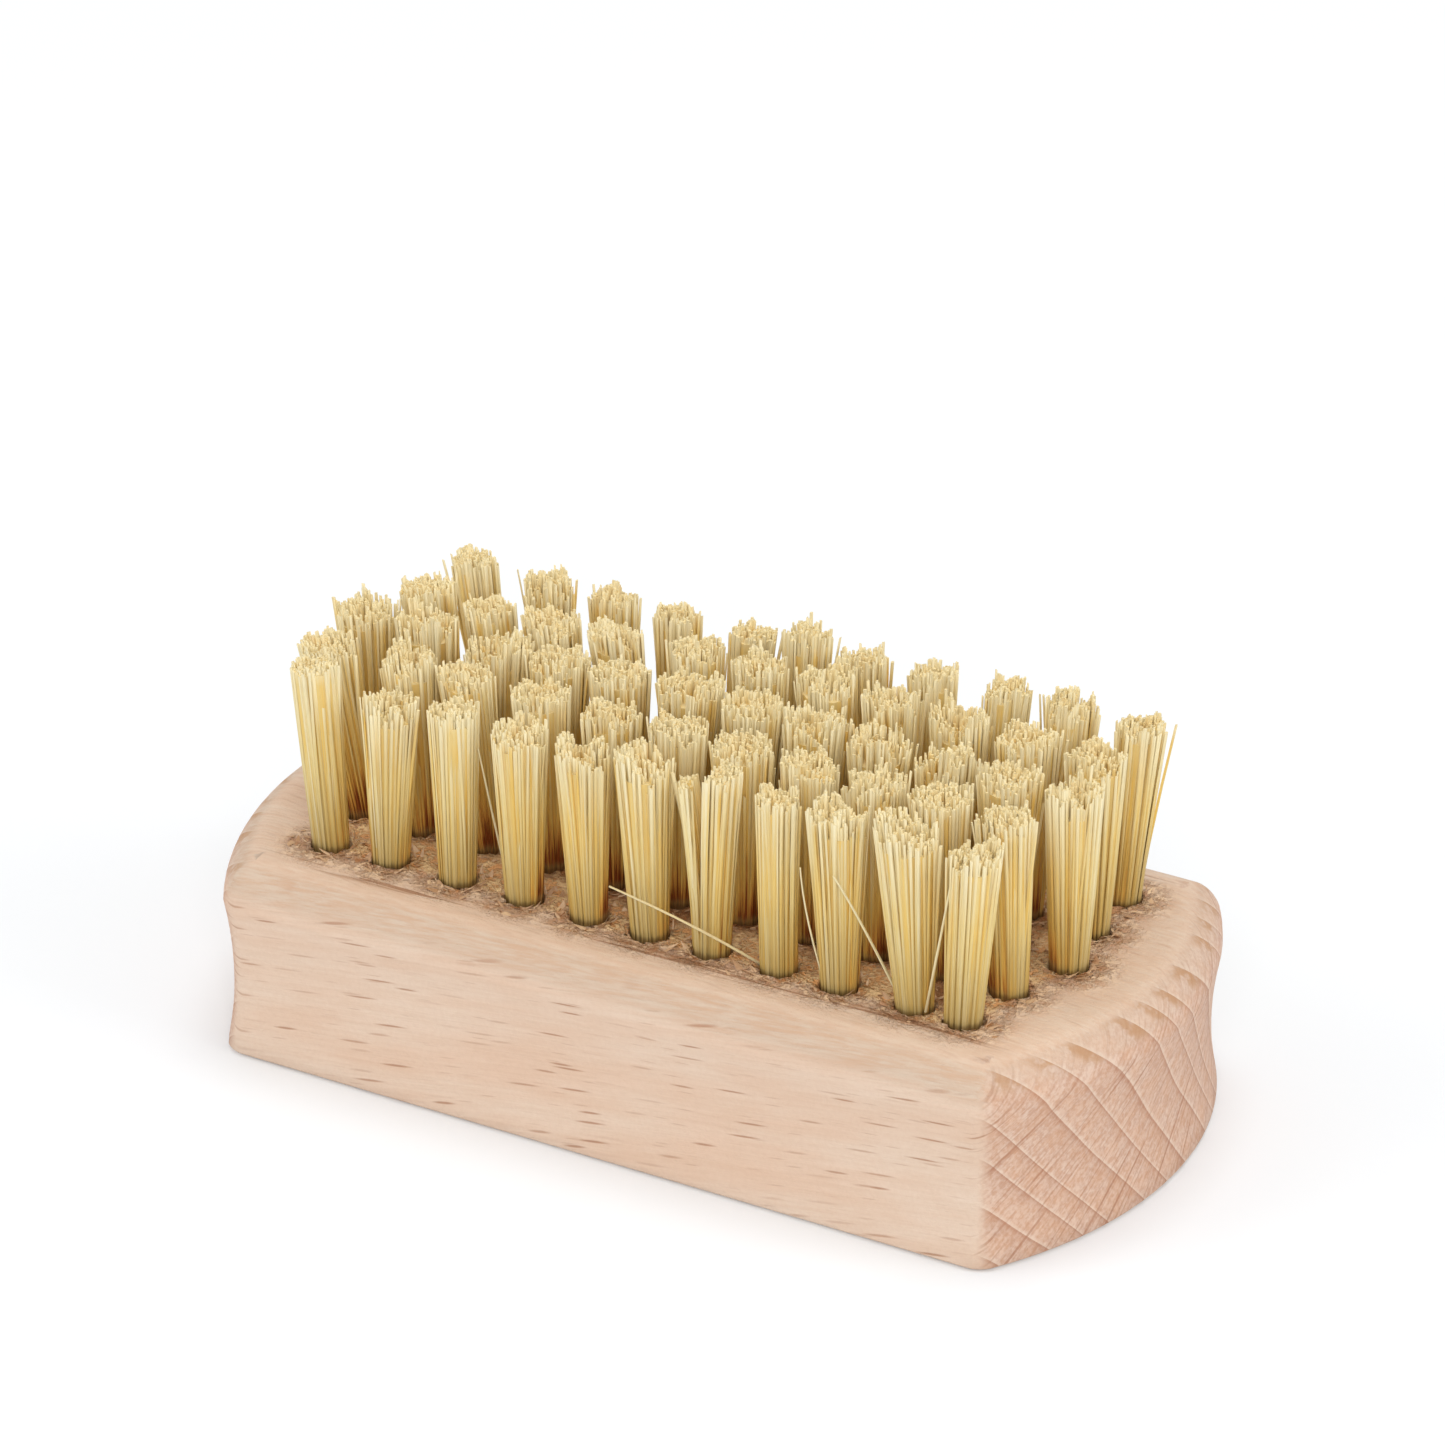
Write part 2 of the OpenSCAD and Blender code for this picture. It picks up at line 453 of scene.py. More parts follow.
@dataclass(frozen=True)
class Mottle:
    """The small unevenness that wood, fibre and wire all have."""

    tone_detail: float = 3.0
    tone_roughness: float = 0.55
    tone_range: Pair = (0.28, 0.72)
    height_shift: Triple = (17.0, 5.0, 31.0)
    height_roughness: float = 0.6
    height_scale: float = 2.1

    def group(self) -> NodeTree:
        """Builds the group, which reads a place in millimetres.

        Returns:
            A group that is given the size of its spots and how far they stretch
            along Z, and gives a tone and a height from 0 to 1.
        """
        group = ShaderGroup("Fine mottle", {"Place": None, "Spot Size": 0.5, "Stretch": 1.0},
                            ("Tone", "Height"))
        graph = group.graph
        x, y, z = graph.add("ShaderNodeSeparateXYZ", {0: group.given["Place"]}).outputs
        squeezed = graph.combine(x, y, graph.maths("DIVIDE", z, group.given["Stretch"]))
        place = graph.scale(squeezed, graph.maths("DIVIDE", 1.0, group.given["Spot Size"]))
        tone = graph.remap(graph.cloud(place, self.tone_detail, self.tone_roughness), *self.tone_range)
        height = graph.cloud(graph.vectors("ADD", place, self.height_shift),
                             roughness=self.height_roughness, scale=self.height_scale)
        return group.give(Tone=tone, Height=height)


class Finish:
    """A material under construction around one Principled shader."""

    def __init__(self, name: str) -> None:
        """Makes the material with its shader and output.

        Args:
            name: The material's name.
        """
        self.material = bpy.data.materials.new(name)
        self.material.use_nodes = True
        self.graph = ShaderGraph(self.material.node_tree)
        self.shader = self.graph.add("ShaderNodeBsdfPrincipled")
        self.graph.add("ShaderNodeOutputMaterial", {"Surface": self.shader.outputs[0]})

    def group(self, tree: NodeTree, **inputs: Input) -> bpy_prop_collection:
        """Places a node group.

        Args:
            tree: The group.
            inputs: A value or a socket for each input, with _ for a space in its name.

        Returns:
            The group's outputs.
        """
        node = self.graph.add("ShaderNodeGroup", node_tree=tree)
        for label, value in inputs.items():
            self.graph.fill(node.inputs[label.replace("_", " ")], value)
        return node.outputs

    def attribute(self, name: str, output: str = "Fac") -> NodeSocket:
        """Reads one of the piece's own attributes, as a number or as a vector."""
        return self.graph.add("ShaderNodeAttribute", attribute_name=name).outputs[output]

    def bump(self, height: Input) -> None:
        """Presses a height in millimetres into the surface."""
        node = self.graph.add("ShaderNodeBump", {"Height": height, "Distance": MM, "Strength": 1.0})
        self.graph.fill(self.shader.inputs["Normal"], node.outputs[0])

    def set(self, **inputs: Input) -> Material:
        """Fills the shader's own sockets.

        Args:
            inputs: A value or a socket for each input, with _ for a space in its name.

        Returns:
            The finished material.
        """
        for label, value in inputs.items():
            self.graph.fill(self.shader.inputs[label.replace("_", " ")], value)
        return self.material


@dataclass(frozen=True)
class WoodMasks:
    """What the block's material reads at each point of its surface."""

    place: NodeSocket
    figure: bpy_prop_collection
    spots: bpy_prop_collection
    specks: NodeSocket
    patches: NodeSocket
    crumbs: NodeSocket
    upward: NodeSocket
    ridge: NodeSocket
    near_hole: NodeSocket


@dataclass(frozen=True)
class Beech:
    """Pale steamed beech, sanded but not oiled, browner where it shows end grain.

    A tint is the most of a colour that is laid on, and a Span says between which
    two values a mask goes from its first strength to its second.
    """

    grain: Grain = Grain()
    pale: Colour = paint(236, 214, 194)
    rosy: Colour = paint(231, 200, 176)
    deep: Colour = paint(208, 171, 142)
    # Duller colours for the upward rounding and the top, partly wear and partly painted shade; the paler one
    # also marks the rubbed ridge of the ends
    wear_and_shade: Colour = paint(202, 168, 141)
    pale_wear_and_shade: Colour = paint(208, 188, 168)
    # Painted shade deep among the tufts, and painted reflected light thrown from the fibres onto the wood
    # between them
    painted_shade_colour: Colour = paint(150, 92, 52)
    painted_bounce: Colour = paint(255, 218, 162)
    painted_bounce_deep: Colour = paint(246, 184, 122)
    fleck: Colour = paint(178, 132, 104)
    end_pale: Colour = paint(231, 204, 185)
    end_rosy: Colour = paint(208, 168, 144)
    end_warm: Colour = paint(224, 170, 128)
    end_line: Colour = paint(170, 114, 84)
    burnished: Colour = paint(184, 136, 92)
    torn: Colour = paint(190, 132, 84)
    torn_pale: Colour = paint(238, 202, 164)
    drag: Colour = paint(154, 104, 68)
    waviness: float = 0.9
    spot_size: float = 0.8
    speck_size: float = 0.4
    patch_size: float = 1.8
    streak_tint: float = 0.18
    ring_tint: float = 0.08
    speck_tint: float = 0.12
    end_patch_tint: float = 0.3
    end_ring_tint: float = 0.58
    end_pale_tint: float = 0.6
    end_ray_tint: float = 0.62
    end_turn: Span = (0.3, 0.85, 0.0, 1.0)
    round_wear_and_shade: Span = (0.05, 0.6, 0.0, 0.85)
    flat_wear_and_shade: Span = (0.85, 0.99, 1.0, 0.45)
    ray_fade: Span = (0.3, 0.9, 0.8, 0.2)
    ridge_wear: Span = (0.5, 0.95, 0.0, 0.35)
    ridge_rub: Span = (0.6, 0.95, 0.0, 0.65)
    rubbed_rings: Span = (0.14, 0.36, 0.0, 1.0)
    rubbed_patches: Span = (0.1, 0.6, 0.0, 1.0)
    end_pores: Span = (0.2, 1.8, 0.0, 1.0)
    crumb_sizes: Span = (0.5, 1.5, 0.0, 1.0)
    torn_patches: Span = (0.0, 1.0, 0.6, 1.1)
    torn_edge: Span = (17.0, 18.0, 1.0, 0.4)
    # Where the crowd mask lays painted reflected light and then painted shade
    painted_bounce_span: Span = (0.02, 0.4, 0.0, 0.92)
    shelter: Span = (0.93, 1.0, 0.0, 0.8)
    drag_way: Vector = field(default_factory=lambda: Vector((-0.02, 1.0, 0.0)))
    drag_stretch: Triple = (0.06, 1.3, 0.0)
    drag_strength: Span = (0.5, 0.6, 0.0, 0.72)
    drag_row: float = 17.4
    drag_reach: Span = (0.5, 1.3, 1.0, 0.0)
    drag_end: Span = (34.0, 41.0, 1.0, 0.0)
    drag_flat: Span = (0.8, 0.95, 0.0, 1.0)
    pore_depth: float = 0.03
    ray_depth: float = 0.02
    crumb_height: float = 0.7
    fuzz_height: Span = (0.0, 1.0, 0.03, 0.45)
    roughness: Span = (0.0, 1.0, 0.5, 0.62)
    shine: float = 0.15

    def material(self, figure: NodeTree, mottle: NodeTree) -> Material:
        """Builds the wood of the block.

        Args:
            figure: The group with rings, rays and streaks.
            mottle: The group with small unevenness.

        Returns:
            The material, which reads the attributes near_hole and sheltered, the mask that places painted
            reflected light and painted shade among the tufts.
        """
        finish = Finish("Sanded beech")
        graph = finish.graph
        masks = self.masks(finish, figure, mottle)
        facing = graph.along(graph.add("ShaderNodeTexCoord").outputs["Normal"], self.grain.fibre)
        end = graph.remap(graph.size(facing), *self.end_turn)
        colour = graph.mix(end, self.long_grain(graph, masks), self.end_grain(graph, masks))
        colour = self.worn_ridge(graph, masks, colour)
        colour = self.drilled_top(graph, masks, colour)
        # Painted reflected light: where tufts start to crowd, the wood takes an orange tint as if lit by
        # light thrown back from the fibres.
        painted_bounce_colour = graph.mix(masks.crumbs, self.painted_bounce_deep, self.painted_bounce)
        sheltered = finish.attribute("sheltered")
        colour = graph.mix(graph.remap(sheltered, *self.painted_bounce_span), colour, painted_bounce_colour)
        # Painted shade: deep among the tufts the wood turns dark brown, as if the tufts kept the light off.
        colour = graph.mix(graph.remap(sheltered, *self.shelter), colour, self.painted_shade_colour)

        fuzz = graph.total(masks.spots["Height"], graph.product(masks.crumbs, self.crumb_height))
        fuzz = graph.product(fuzz, graph.remap(masks.near_hole, *self.fuzz_height))
        finish.bump(graph.total(graph.product(masks.figure["Streak"], self.pore_depth),
                                graph.product(masks.figure["Ray"], -self.ray_depth), fuzz))
        rough = graph.remap(masks.figure["Streak"], *self.roughness)
        return finish.set(Base_Color=colour, Roughness=rough, Specular_IOR_Level=self.shine)

    def masks(self, finish: Finish, figure: NodeTree, mottle: NodeTree) -> WoodMasks:
        """Gathers what the material reads of place, direction and figure.

        Args:
            finish: The material under construction.
            figure: The group with rings, rays and streaks.
            mottle: The group with small unevenness.

        Returns:
            The sockets to read.
        """
        graph = finish.graph
        source = graph.add("ShaderNodeTexCoord").outputs
        place = graph.vectors("MULTIPLY", source["Object"], (1.0 / MM,) * 3)
        spots, specks, patches = (finish.group(mottle, Place=place, Spot_Size=size, Stretch=1.0)
                                  for size in (self.spot_size, self.speck_size, self.patch_size))
        normal = graph.add("ShaderNodeSeparateXYZ", {0: source["Normal"]}).outputs
        return WoodMasks(
            place=place,
            figure=finish.group(figure, Place=place, Waviness=self.waviness),
            spots=spots,
            specks=specks["Tone"],
            patches=patches["Tone"],
            crumbs=graph.remap(graph.total(specks["Tone"], patches["Tone"]), *self.crumb_sizes),
            upward=normal[2],
            ridge=graph.size(graph.product(normal[0], normal[2], 2.0)),
            near_hole=finish.attribute("near_hole"))

    def long_grain(self, graph: ShaderGraph, masks: WoodMasks) -> NodeSocket:
        """Paints the wood where it is cut along the fibres, greyer where it rounds to the top, which is
        partly wear and partly painted shade.

        Args:
            graph: The material's graph.
            masks: What the material reads.

        Returns:
            The colour.
        """
        colour = graph.mix(masks.figure["Patch"], self.pale, self.rosy)
        for mask, tint in ((masks.figure["Streak"], self.streak_tint), (masks.figure["Ring"], self.ring_tint),
                           (masks.specks, self.speck_tint)):
            colour = graph.mix(graph.product(mask, tint), colour, self.deep)
        # Painted shade, partly wear: the upward rounding and the top turn a duller, greyer colour.
        rounded = graph.mix(masks.figure["Streak"], self.pale_wear_and_shade, self.wear_and_shade)
        upward = graph.product(graph.remap(masks.upward, *self.round_wear_and_shade),
                               graph.remap(masks.upward, *self.flat_wear_and_shade))
        colour = graph.mix(upward, colour, rounded)
        seen_ray = graph.product(masks.figure["Ray"], graph.remap(masks.upward, *self.ray_fade))
        return graph.mix(seen_ray, colour, self.fleck)

    def end_grain(self, graph: ShaderGraph, masks: WoodMasks) -> NodeSocket:
        """Paints the wood where it is cut across the fibres, with its rings and long rays.

        Args:
            graph: The material's graph.
            masks: What the material reads.

        Returns:
            The colour.
        """
        pored = graph.remap(graph.total(masks.specks, masks.figure["Ray Texture"]), *self.end_pores)
        colour = graph.mix(pored, self.end_pale, self.end_rosy)
        for mask, tint, over in ((masks.patches, self.end_patch_tint, self.end_warm),
                                 (masks.figure["Ring"], self.end_ring_tint, self.end_line),
                                 (masks.figure["Pale Line"], self.end_pale_tint, self.pale),
                                 (masks.figure["Broad Ray"], self.end_ray_tint, self.end_line)):
            colour = graph.mix(graph.product(mask, tint), colour, over)
        return colour

    def worn_ridge(self, graph: ShaderGraph, masks: WoodMasks, colour: Input) -> NodeSocket:
        """Pales the rounded edge of the ends and burnishes the rings that cross it.

        Args:
            graph: The material's graph.
            masks: What the material reads.
            colour: The wood's colour so far.

        Returns:
            The colour with its wear.
        """
        colour = graph.mix(graph.remap(masks.ridge, *self.ridge_wear), colour, self.pale_wear_and_shade)
        rubbed = graph.product(graph.remap(masks.ridge, *self.ridge_rub),
                               graph.remap(masks.figure["Ring"], *self.rubbed_rings),
                               graph.remap(masks.patches, *self.rubbed_patches))
        return graph.mix(rubbed, colour, self.burnished)

    def drilled_top(self, graph: ShaderGraph, masks: WoodMasks, colour: Input) -> NodeSocket:
        """Tears the wood round the holes and draws the brown lines beside the outer rows.

        Args:
            graph: The material's graph.
            masks: What the material reads.
            colour: The wood's colour so far.

        Returns:
            The colour with the marks of drilling.
        """
        across = graph.along(masks.place, self.drag_way)
        torn = graph.product(masks.near_hole, graph.remap(masks.spots["Tone"], *self.torn_patches),
                             graph.remap(graph.size(across), *self.torn_edge))
        colour = graph.mix(torn, colour, graph.mix(masks.crumbs, self.torn, self.torn_pale))

        lengthwise = graph.along(masks.place, Vector((1.0, 0.0, 0.0)))
        lines = graph.cloud(graph.stretch((lengthwise, across, 0.0), self.drag_stretch))
        from_row = graph.size(graph.maths("SUBTRACT", graph.size(across), self.drag_row))
        dragged = graph.product(graph.remap(lines, *self.drag_strength),
                                graph.remap(from_row, *self.drag_reach),
                                graph.remap(graph.size(lengthwise), *self.drag_end),
                                graph.remap(masks.upward, *self.drag_flat))
        return graph.mix(dragged, colour, self.drag)


@dataclass(frozen=True)
class TornBeech:
    """Slivers and fuzz of wood that the drill has lifted, from pale to brown."""

    pale: Colour = paint(241, 209, 170)
    brown: Colour = paint(158, 102, 58)
    tone_share: float = 0.85
    spot_share: float = 0.15
    spot_size: float = 0.12
    spot_stretch: float = 6.0
    spot_depth: float = 0.02
    roughness: float = 0.7
    shine: float = 0.2

    def material(self, mottle: NodeTree) -> Material:
        """Builds the torn wood.

        Args:
            mottle: The group with small unevenness.

        Returns:
            The material, which reads each sliver's own place and tone.
        """
        finish = Finish("Torn beech")
        graph = finish.graph
        own = finish.attribute("strand_place", "Vector")
        spots = finish.group(mottle, Place=own, Spot_Size=self.spot_size, Stretch=self.spot_stretch)
        tone = graph.total(graph.product(finish.attribute("strand_tone"), self.tone_share),
                           graph.product(spots["Tone"], self.spot_share))
        finish.bump(graph.product(spots["Height"], self.spot_depth))
        return finish.set(Base_Color=graph.mix(tone, self.brown, self.pale), Roughness=self.roughness,
                          Specular_IOR_Level=self.shine)


@dataclass(frozen=True)
class PlantFibre:
    """Stiff straw-yellow plant fibre with a waxy skin, browner where it leaves the wood, with painted shade
    on its lower part and a painted shadow at the hole's mouth.
    """

    # The darkest stops, amber and heart, show mostly where painted shade between tufts lowers a fibre's tone.
    amber: Colour = paint(138, 74, 32)
    heart: Colour = paint(208, 150, 72)
    golden: Colour = paint(240, 198, 100)
    straw: Colour = paint(238, 213, 144)
    pale: Colour = paint(250, 242, 206)
    root: Colour = paint(170, 144, 88)
    bleached: Colour = paint(251, 238, 198)
    cut: Colour = paint(240, 220, 168)
    # Painted shadow on each fibre just above the wood, where it leaves its hole.
    mouth: Colour = paint(112, 74, 38)
    stops: tuple[float, ...] = (0.0, 0.12, 0.26, 0.5, 0.88)
    tone_shares: Triple = (0.6, 0.2, 0.12)
    line_spots: Pair = (0.16, 60.0)
    blotch_spots: Pair = (1.6, 4.0)
    foot_shade_tones: Pair = (0.0, 0.3)
    foot_shade_fade: Span = (0.0, 0.6, 0.5, 0.0)
    root_fade: Span = (0.0, 0.07, 0.6, 0.0)
    bleach: Span = (0.5, 1.02, 0.0, 0.8)
    bleached_tones: Span = (0.35, 0.6, 0.1, 1.0)
    tip_bleach: Span = (0.9, 1.0, 0.0, 0.6)
    cut_turn: Span = (0.5, 0.9, 0.0, 0.85)
    mouth_shadow_fade: Span = (0.0, 0.55, 0.6, 0.0)
    line_depth: float = 0.05
    roughness: Span = (0.0, 1.0, 0.6, 0.48)
    shine: float = 0.12

    def material(self, mottle: NodeTree, wood_top: float) -> Material:
        """Builds the fibre's skin, which reads each fibre's own place, tone and rise.

        Args:
            mottle: The group with small unevenness.
            wood_top: The height of the wood, from which the fibres stand up.

        Returns:
            The material, with a painted shadow where a fibre leaves its hole.
        """
        finish = Finish("Plant fibre")
        graph = finish.graph
        own = finish.attribute("strand_place", "Vector")
        tone = finish.attribute("strand_tone")
        rise = finish.attribute("strand_rise")
        lines, blotch = (finish.group(mottle, Place=own, Spot_Size=size, Stretch=stretch)
                         for size, stretch in (self.line_spots, self.blotch_spots))
        parts = (tone, lines["Tone"], blotch["Tone"])
        level = graph.total(*(graph.product(part, share) for part, share in zip(parts, self.tone_shares)))
        tones = (self.amber, self.heart, self.golden, self.straw, self.pale)
        colour = graph.ramp(level, list(zip(self.stops, tones)))
        source = graph.add("ShaderNodeTexCoord").outputs
        upward = graph.along(source["Normal"], UP)
        above = graph.maths("SUBTRACT", graph.along(source["Object"], UP / MM), wood_top / MM)
        # Painted shade: the lower part of each fibre turns towards the root colour.
        foot = graph.product(graph.remap(rise, *self.foot_shade_fade), graph.remap(tone, *self.foot_shade_tones))
        bleach = graph.product(graph.remap(rise, *self.bleach), graph.remap(tone, *self.bleached_tones))
        # The foot and mouth masks lay painted shade and a painted shadow; the others are the fibre's own
        # colours.
        for mask, tint in ((foot, self.root), (graph.remap(rise, *self.root_fade), self.root),
                           (bleach, self.bleached), (graph.remap(rise, *self.tip_bleach), self.bleached),
                           (graph.remap(upward, *self.cut_turn), self.cut),
                           (graph.remap(above, *self.mouth_shadow_fade), self.mouth)):
            colour = graph.mix(mask, colour, tint)
        finish.bump(graph.product(lines["Height"], self.line_depth))
        rough = graph.remap(lines["Tone"], *self.roughness)
        return finish.set(Base_Color=colour, Roughness=rough, Specular_IOR_Level=self.shine)


@dataclass(frozen=True)
class SteelWire:
    """Drawn flat steel wire with fine lines along its length."""

    bright: Colour = paint(196, 198, 200)
    dull: Colour = paint(150, 150, 152)
    line_size: float = 0.1
    line_stretch: float = 30.0
    line_depth: float = 0.006
    roughness: Span = (0.0, 1.0, 0.34, 0.24)

    def material(self, mottle: NodeTree) -> Material:
        """Builds the anchors' steel.

        Args:
            mottle: The group with small unevenness.

        Returns:
            The material, whose lines run across the block as the wires do.
        """
        finish = Finish("Drawn steel")
        graph = finish.graph
        source = graph.add("ShaderNodeTexCoord").outputs
        turned = graph.add("ShaderNodeMapping", {0: source["Object"], "Rotation": (math.pi / 2.0, 0.0, 0.0),
                                                 "Scale": (1.0 / MM,) * 3}).outputs[0]
        drawn = finish.group(mottle, Place=turned, Spot_Size=self.line_size, Stretch=self.line_stretch)
        finish.bump(graph.product(drawn["Height"], self.line_depth))
        colour = graph.mix(drawn["Tone"], self.dull, self.bright)
        rough = graph.remap(drawn["Tone"], *self.roughness)
        return finish.set(Base_Color=colour, Metallic=1.0, Roughness=rough)


def finished_mesh(mesh: BMesh, name: str, sharp_angle: float | None = None) -> Mesh:
    """Turns a mesh under construction into mesh data and frees it.

    Args:
        mesh: The mesh under construction.
        name: The name of the data.
        sharp_angle: The angle from which an edge stays sharp, or None for flat faces.

    Returns:
        The mesh data.
    """
    for face in mesh.faces:
        face.smooth = sharp_angle is not None
    data = bpy.data.meshes.new(name)
    mesh.to_mesh(data)
    mesh.free()
    if sharp_angle is not None:
        data.set_sharp_from_angle(angle=sharp_angle)
    return data


def new_object(name: str, data: ID) -> Object:
    """Makes an object and links it into the scene.

    Args:
        name: Its name.
        data: Its mesh, lamp or camera.

    Returns:
        The object.
    """
    made = bpy.data.objects.new(name, data)
    bpy.context.scene.collection.objects.link(made)
    return made


def join_brush(name: str, data: Mesh, material: Material, replaced: Iterable[str] = ()) -> Object:
    """Makes a piece of the brush, which rides on its one body.

    Args:
        name: The piece's name.
        data: Its mesh.
        material: Its finish.
        replaced: The CAD nodes that it stands for.

    Returns:
        The piece.
    """
    piece = new_object(name, data)
    data.materials.append(material)
    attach(piece, BODY)
    if replaced:
        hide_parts(*replaced)
    return piece


def no_shade(_: Vector) -> float:
    """Stands for the surroundings of a strand that stands free."""
    return 0.0


def own_streaks(chance: random.Random) -> Vector:
    """Draws a shift that gives a strand streaks of its own."""
    return Vector([chance.uniform(0.0, 90.0) for _ in range(3)])


class Piece:
    """A mesh of many strands that becomes one named object of the brush."""

    def __init__(self, name: str, material: Material, slot: Slot) -> None:
        """Starts with an empty mesh.

        Args:
            name: The object's name.
            material: The finish of the whole piece.
            slot: The slot that the finish belongs to.
        """
        self.name = name
        self.material = material
        self.slot = slot
        self.mesh = bmesh.new()
        self.place = self.mesh.verts.layers.float_vector.new("strand_place")
        self.tone = self.mesh.verts.layers.float.new("strand_tone")
        self.rise = self.mesh.verts.layers.float.new("strand_rise")

    def lay(self, pattern: Mesh, shape: Callable[[Vector], tuple[Vector, float]], size: Vector,
            tone: float, own: Vector, shade: Callable[[Vector], float] = no_shade) -> None:
        """Adds one strand by bending a straight pattern.

        Args:
            pattern: A strand of unit length and radius that stands on Z.
            shape: Gives each point of the pattern its place and its rise.
            size: The strand's two thicknesses and its length.
            tone: How pale the strand is, from 0 to 1.
            own: A shift that gives the strand streaks of its own.
            shade: Says how much painted shade neighbours lay on a side of its foot.
        """
        first = len(self.mesh.verts)
        self.mesh.from_mesh(pattern)
        self.mesh.verts.ensure_lookup_table()
        for number in range(first, len(self.mesh.verts)):
            vertex = self.mesh.verts[number]
            local = vertex.co.copy()
            vertex[self.place] = Vector(a * b for a, b in zip(local, size)) / MM + own
            vertex.co, rise = shape(local)
            vertex[self.rise] = rise
            # Painted shade: the tone drops towards the foot on the sides that neighbouring tufts crowd.
            vertex[self.tone] = tone - shade(local) * max(1.0 - rise, 0.0) ** SHADE_FADE

    def finish(self, replaced: Iterable[str] = ()) -> Object:
        """Turns the mesh into an object that rides on the brush, in place of some CAD nodes."""
        data = finished_mesh(self.mesh, self.name, CUT_ANGLE)
        return join_brush(self.name, data, self.material, replaced)


def strand_pattern(name: str, sides: int, steps: Sequence[float]) -> Mesh:
    """Models a straight closed strand of unit radius from z = 0 to z = 1.

    Args:
        name: The mesh's name.
        sides: The number of sides round it.
        steps: The heights of its rings, from 0 to 1.

    Returns:
        A mesh whose points stand in for every strand's shape.
    """
    mesh = bmesh.new()
    bmesh.ops.create_circle(mesh, cap_ends=True, radius=1.0, segments=sides)
    bmesh.ops.reverse_faces(mesh, faces=mesh.faces)
    rim = list(mesh.edges)
    for low, high in zip(steps, steps[1:]):
        grown = bmesh.ops.extrude_edge_only(mesh, edges=rim)["geom"]
        ring = [item for item in grown if isinstance(item, BMVert)]
        bmesh.ops.translate(mesh, verts=ring, vec=(0.0, 0.0, high - low))
        rim = [item for item in grown if isinstance(item, BMEdge) and all(v in ring for v in item.verts)]
    bmesh.ops.contextual_create(mesh, geom=rim)
    bmesh.ops.recalc_face_normals(mesh, faces=mesh.faces)
    return finished_mesh(mesh, name)


@dataclass(frozen=True)
class TuftPlan:
    """Where one tuft leaves the wood and where its cut ends lie."""

    name: str
    row: int
    number: int
    root: Vector
    tip: Vector

    @classmethod
    def read(cls, node: Object, wood_top: float) -> TuftPlan:
        """Reads a tuft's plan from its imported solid.

        Args:
            node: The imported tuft, tuft_rROW_NUMBER.
            wood_top: The height of the block's top.

        Returns:
            The plan.
        """
        points = [vertex.co for vertex in node.data.vertices]
        floor = min(point.z for point in points)
        reach = max(point.z for point in points) - wood_top
        plug = [point for point in points if point.z < floor + FOOT_SLICE]
        ends = [point for point in points if point.z > wood_top + TIPS_FROM * reach]
        root = sum(plug, Vector()) / len(plug)
        tip = sum(ends, Vector()) / len(ends)
        row, number = node.name.removeprefix("tuft_r").split("_")
        return cls(node.name, int(row), int(number), Vector((root.x, root.y, wood_top)), tip)


@dataclass(frozen=True)
class Arm:
    """One arm of a folded tuft.

    It leans along the row, is trimmed longer or shorter, and keeps a share of
    its own width at its tip.
    """

    lean: float
    trim: float
    keep: float = 1.0


@dataclass(frozen=True)
class Fold:
    """How the two arms of one folded tuft part from each other.

    The split says where the left arm ends, as a share of the tuft's radius, and
    the bite how ragged the cut ends are.
    """

    left: Arm
    right: Arm
    split: float
    bite: float
    core_width: float = 1.0
    core_lean: float = 0.0


@dataclass(frozen=True)
class Bundle:
    """One tuft under construction, with what all its fibres share."""

    piece: Piece
    plan: TuftPlan
    fold: Fold
    tip_radius: float
    crowd: Sequence[Vector]
    chance: random.Random

    @property
    def free(self) -> float:
        """The height of the tips above the wood."""
        return self.plan.tip.z - self.plan.root.z

    @property
    def lean(self) -> Vector:
        """How far the tips lean over."""
        return Vector((*(self.plan.tip - self.plan.root).xy, 0.0))

    def wave(self, aim: Vector, steps: Triple) -> Vector:
        """Finds where a noise is read, by its steps within a tuft, along a row and from row to row."""
        within, along, rows = steps
        return Vector((aim.x * within, aim.y * within, along * self.plan.root.x / MM + rows * self.plan.row))


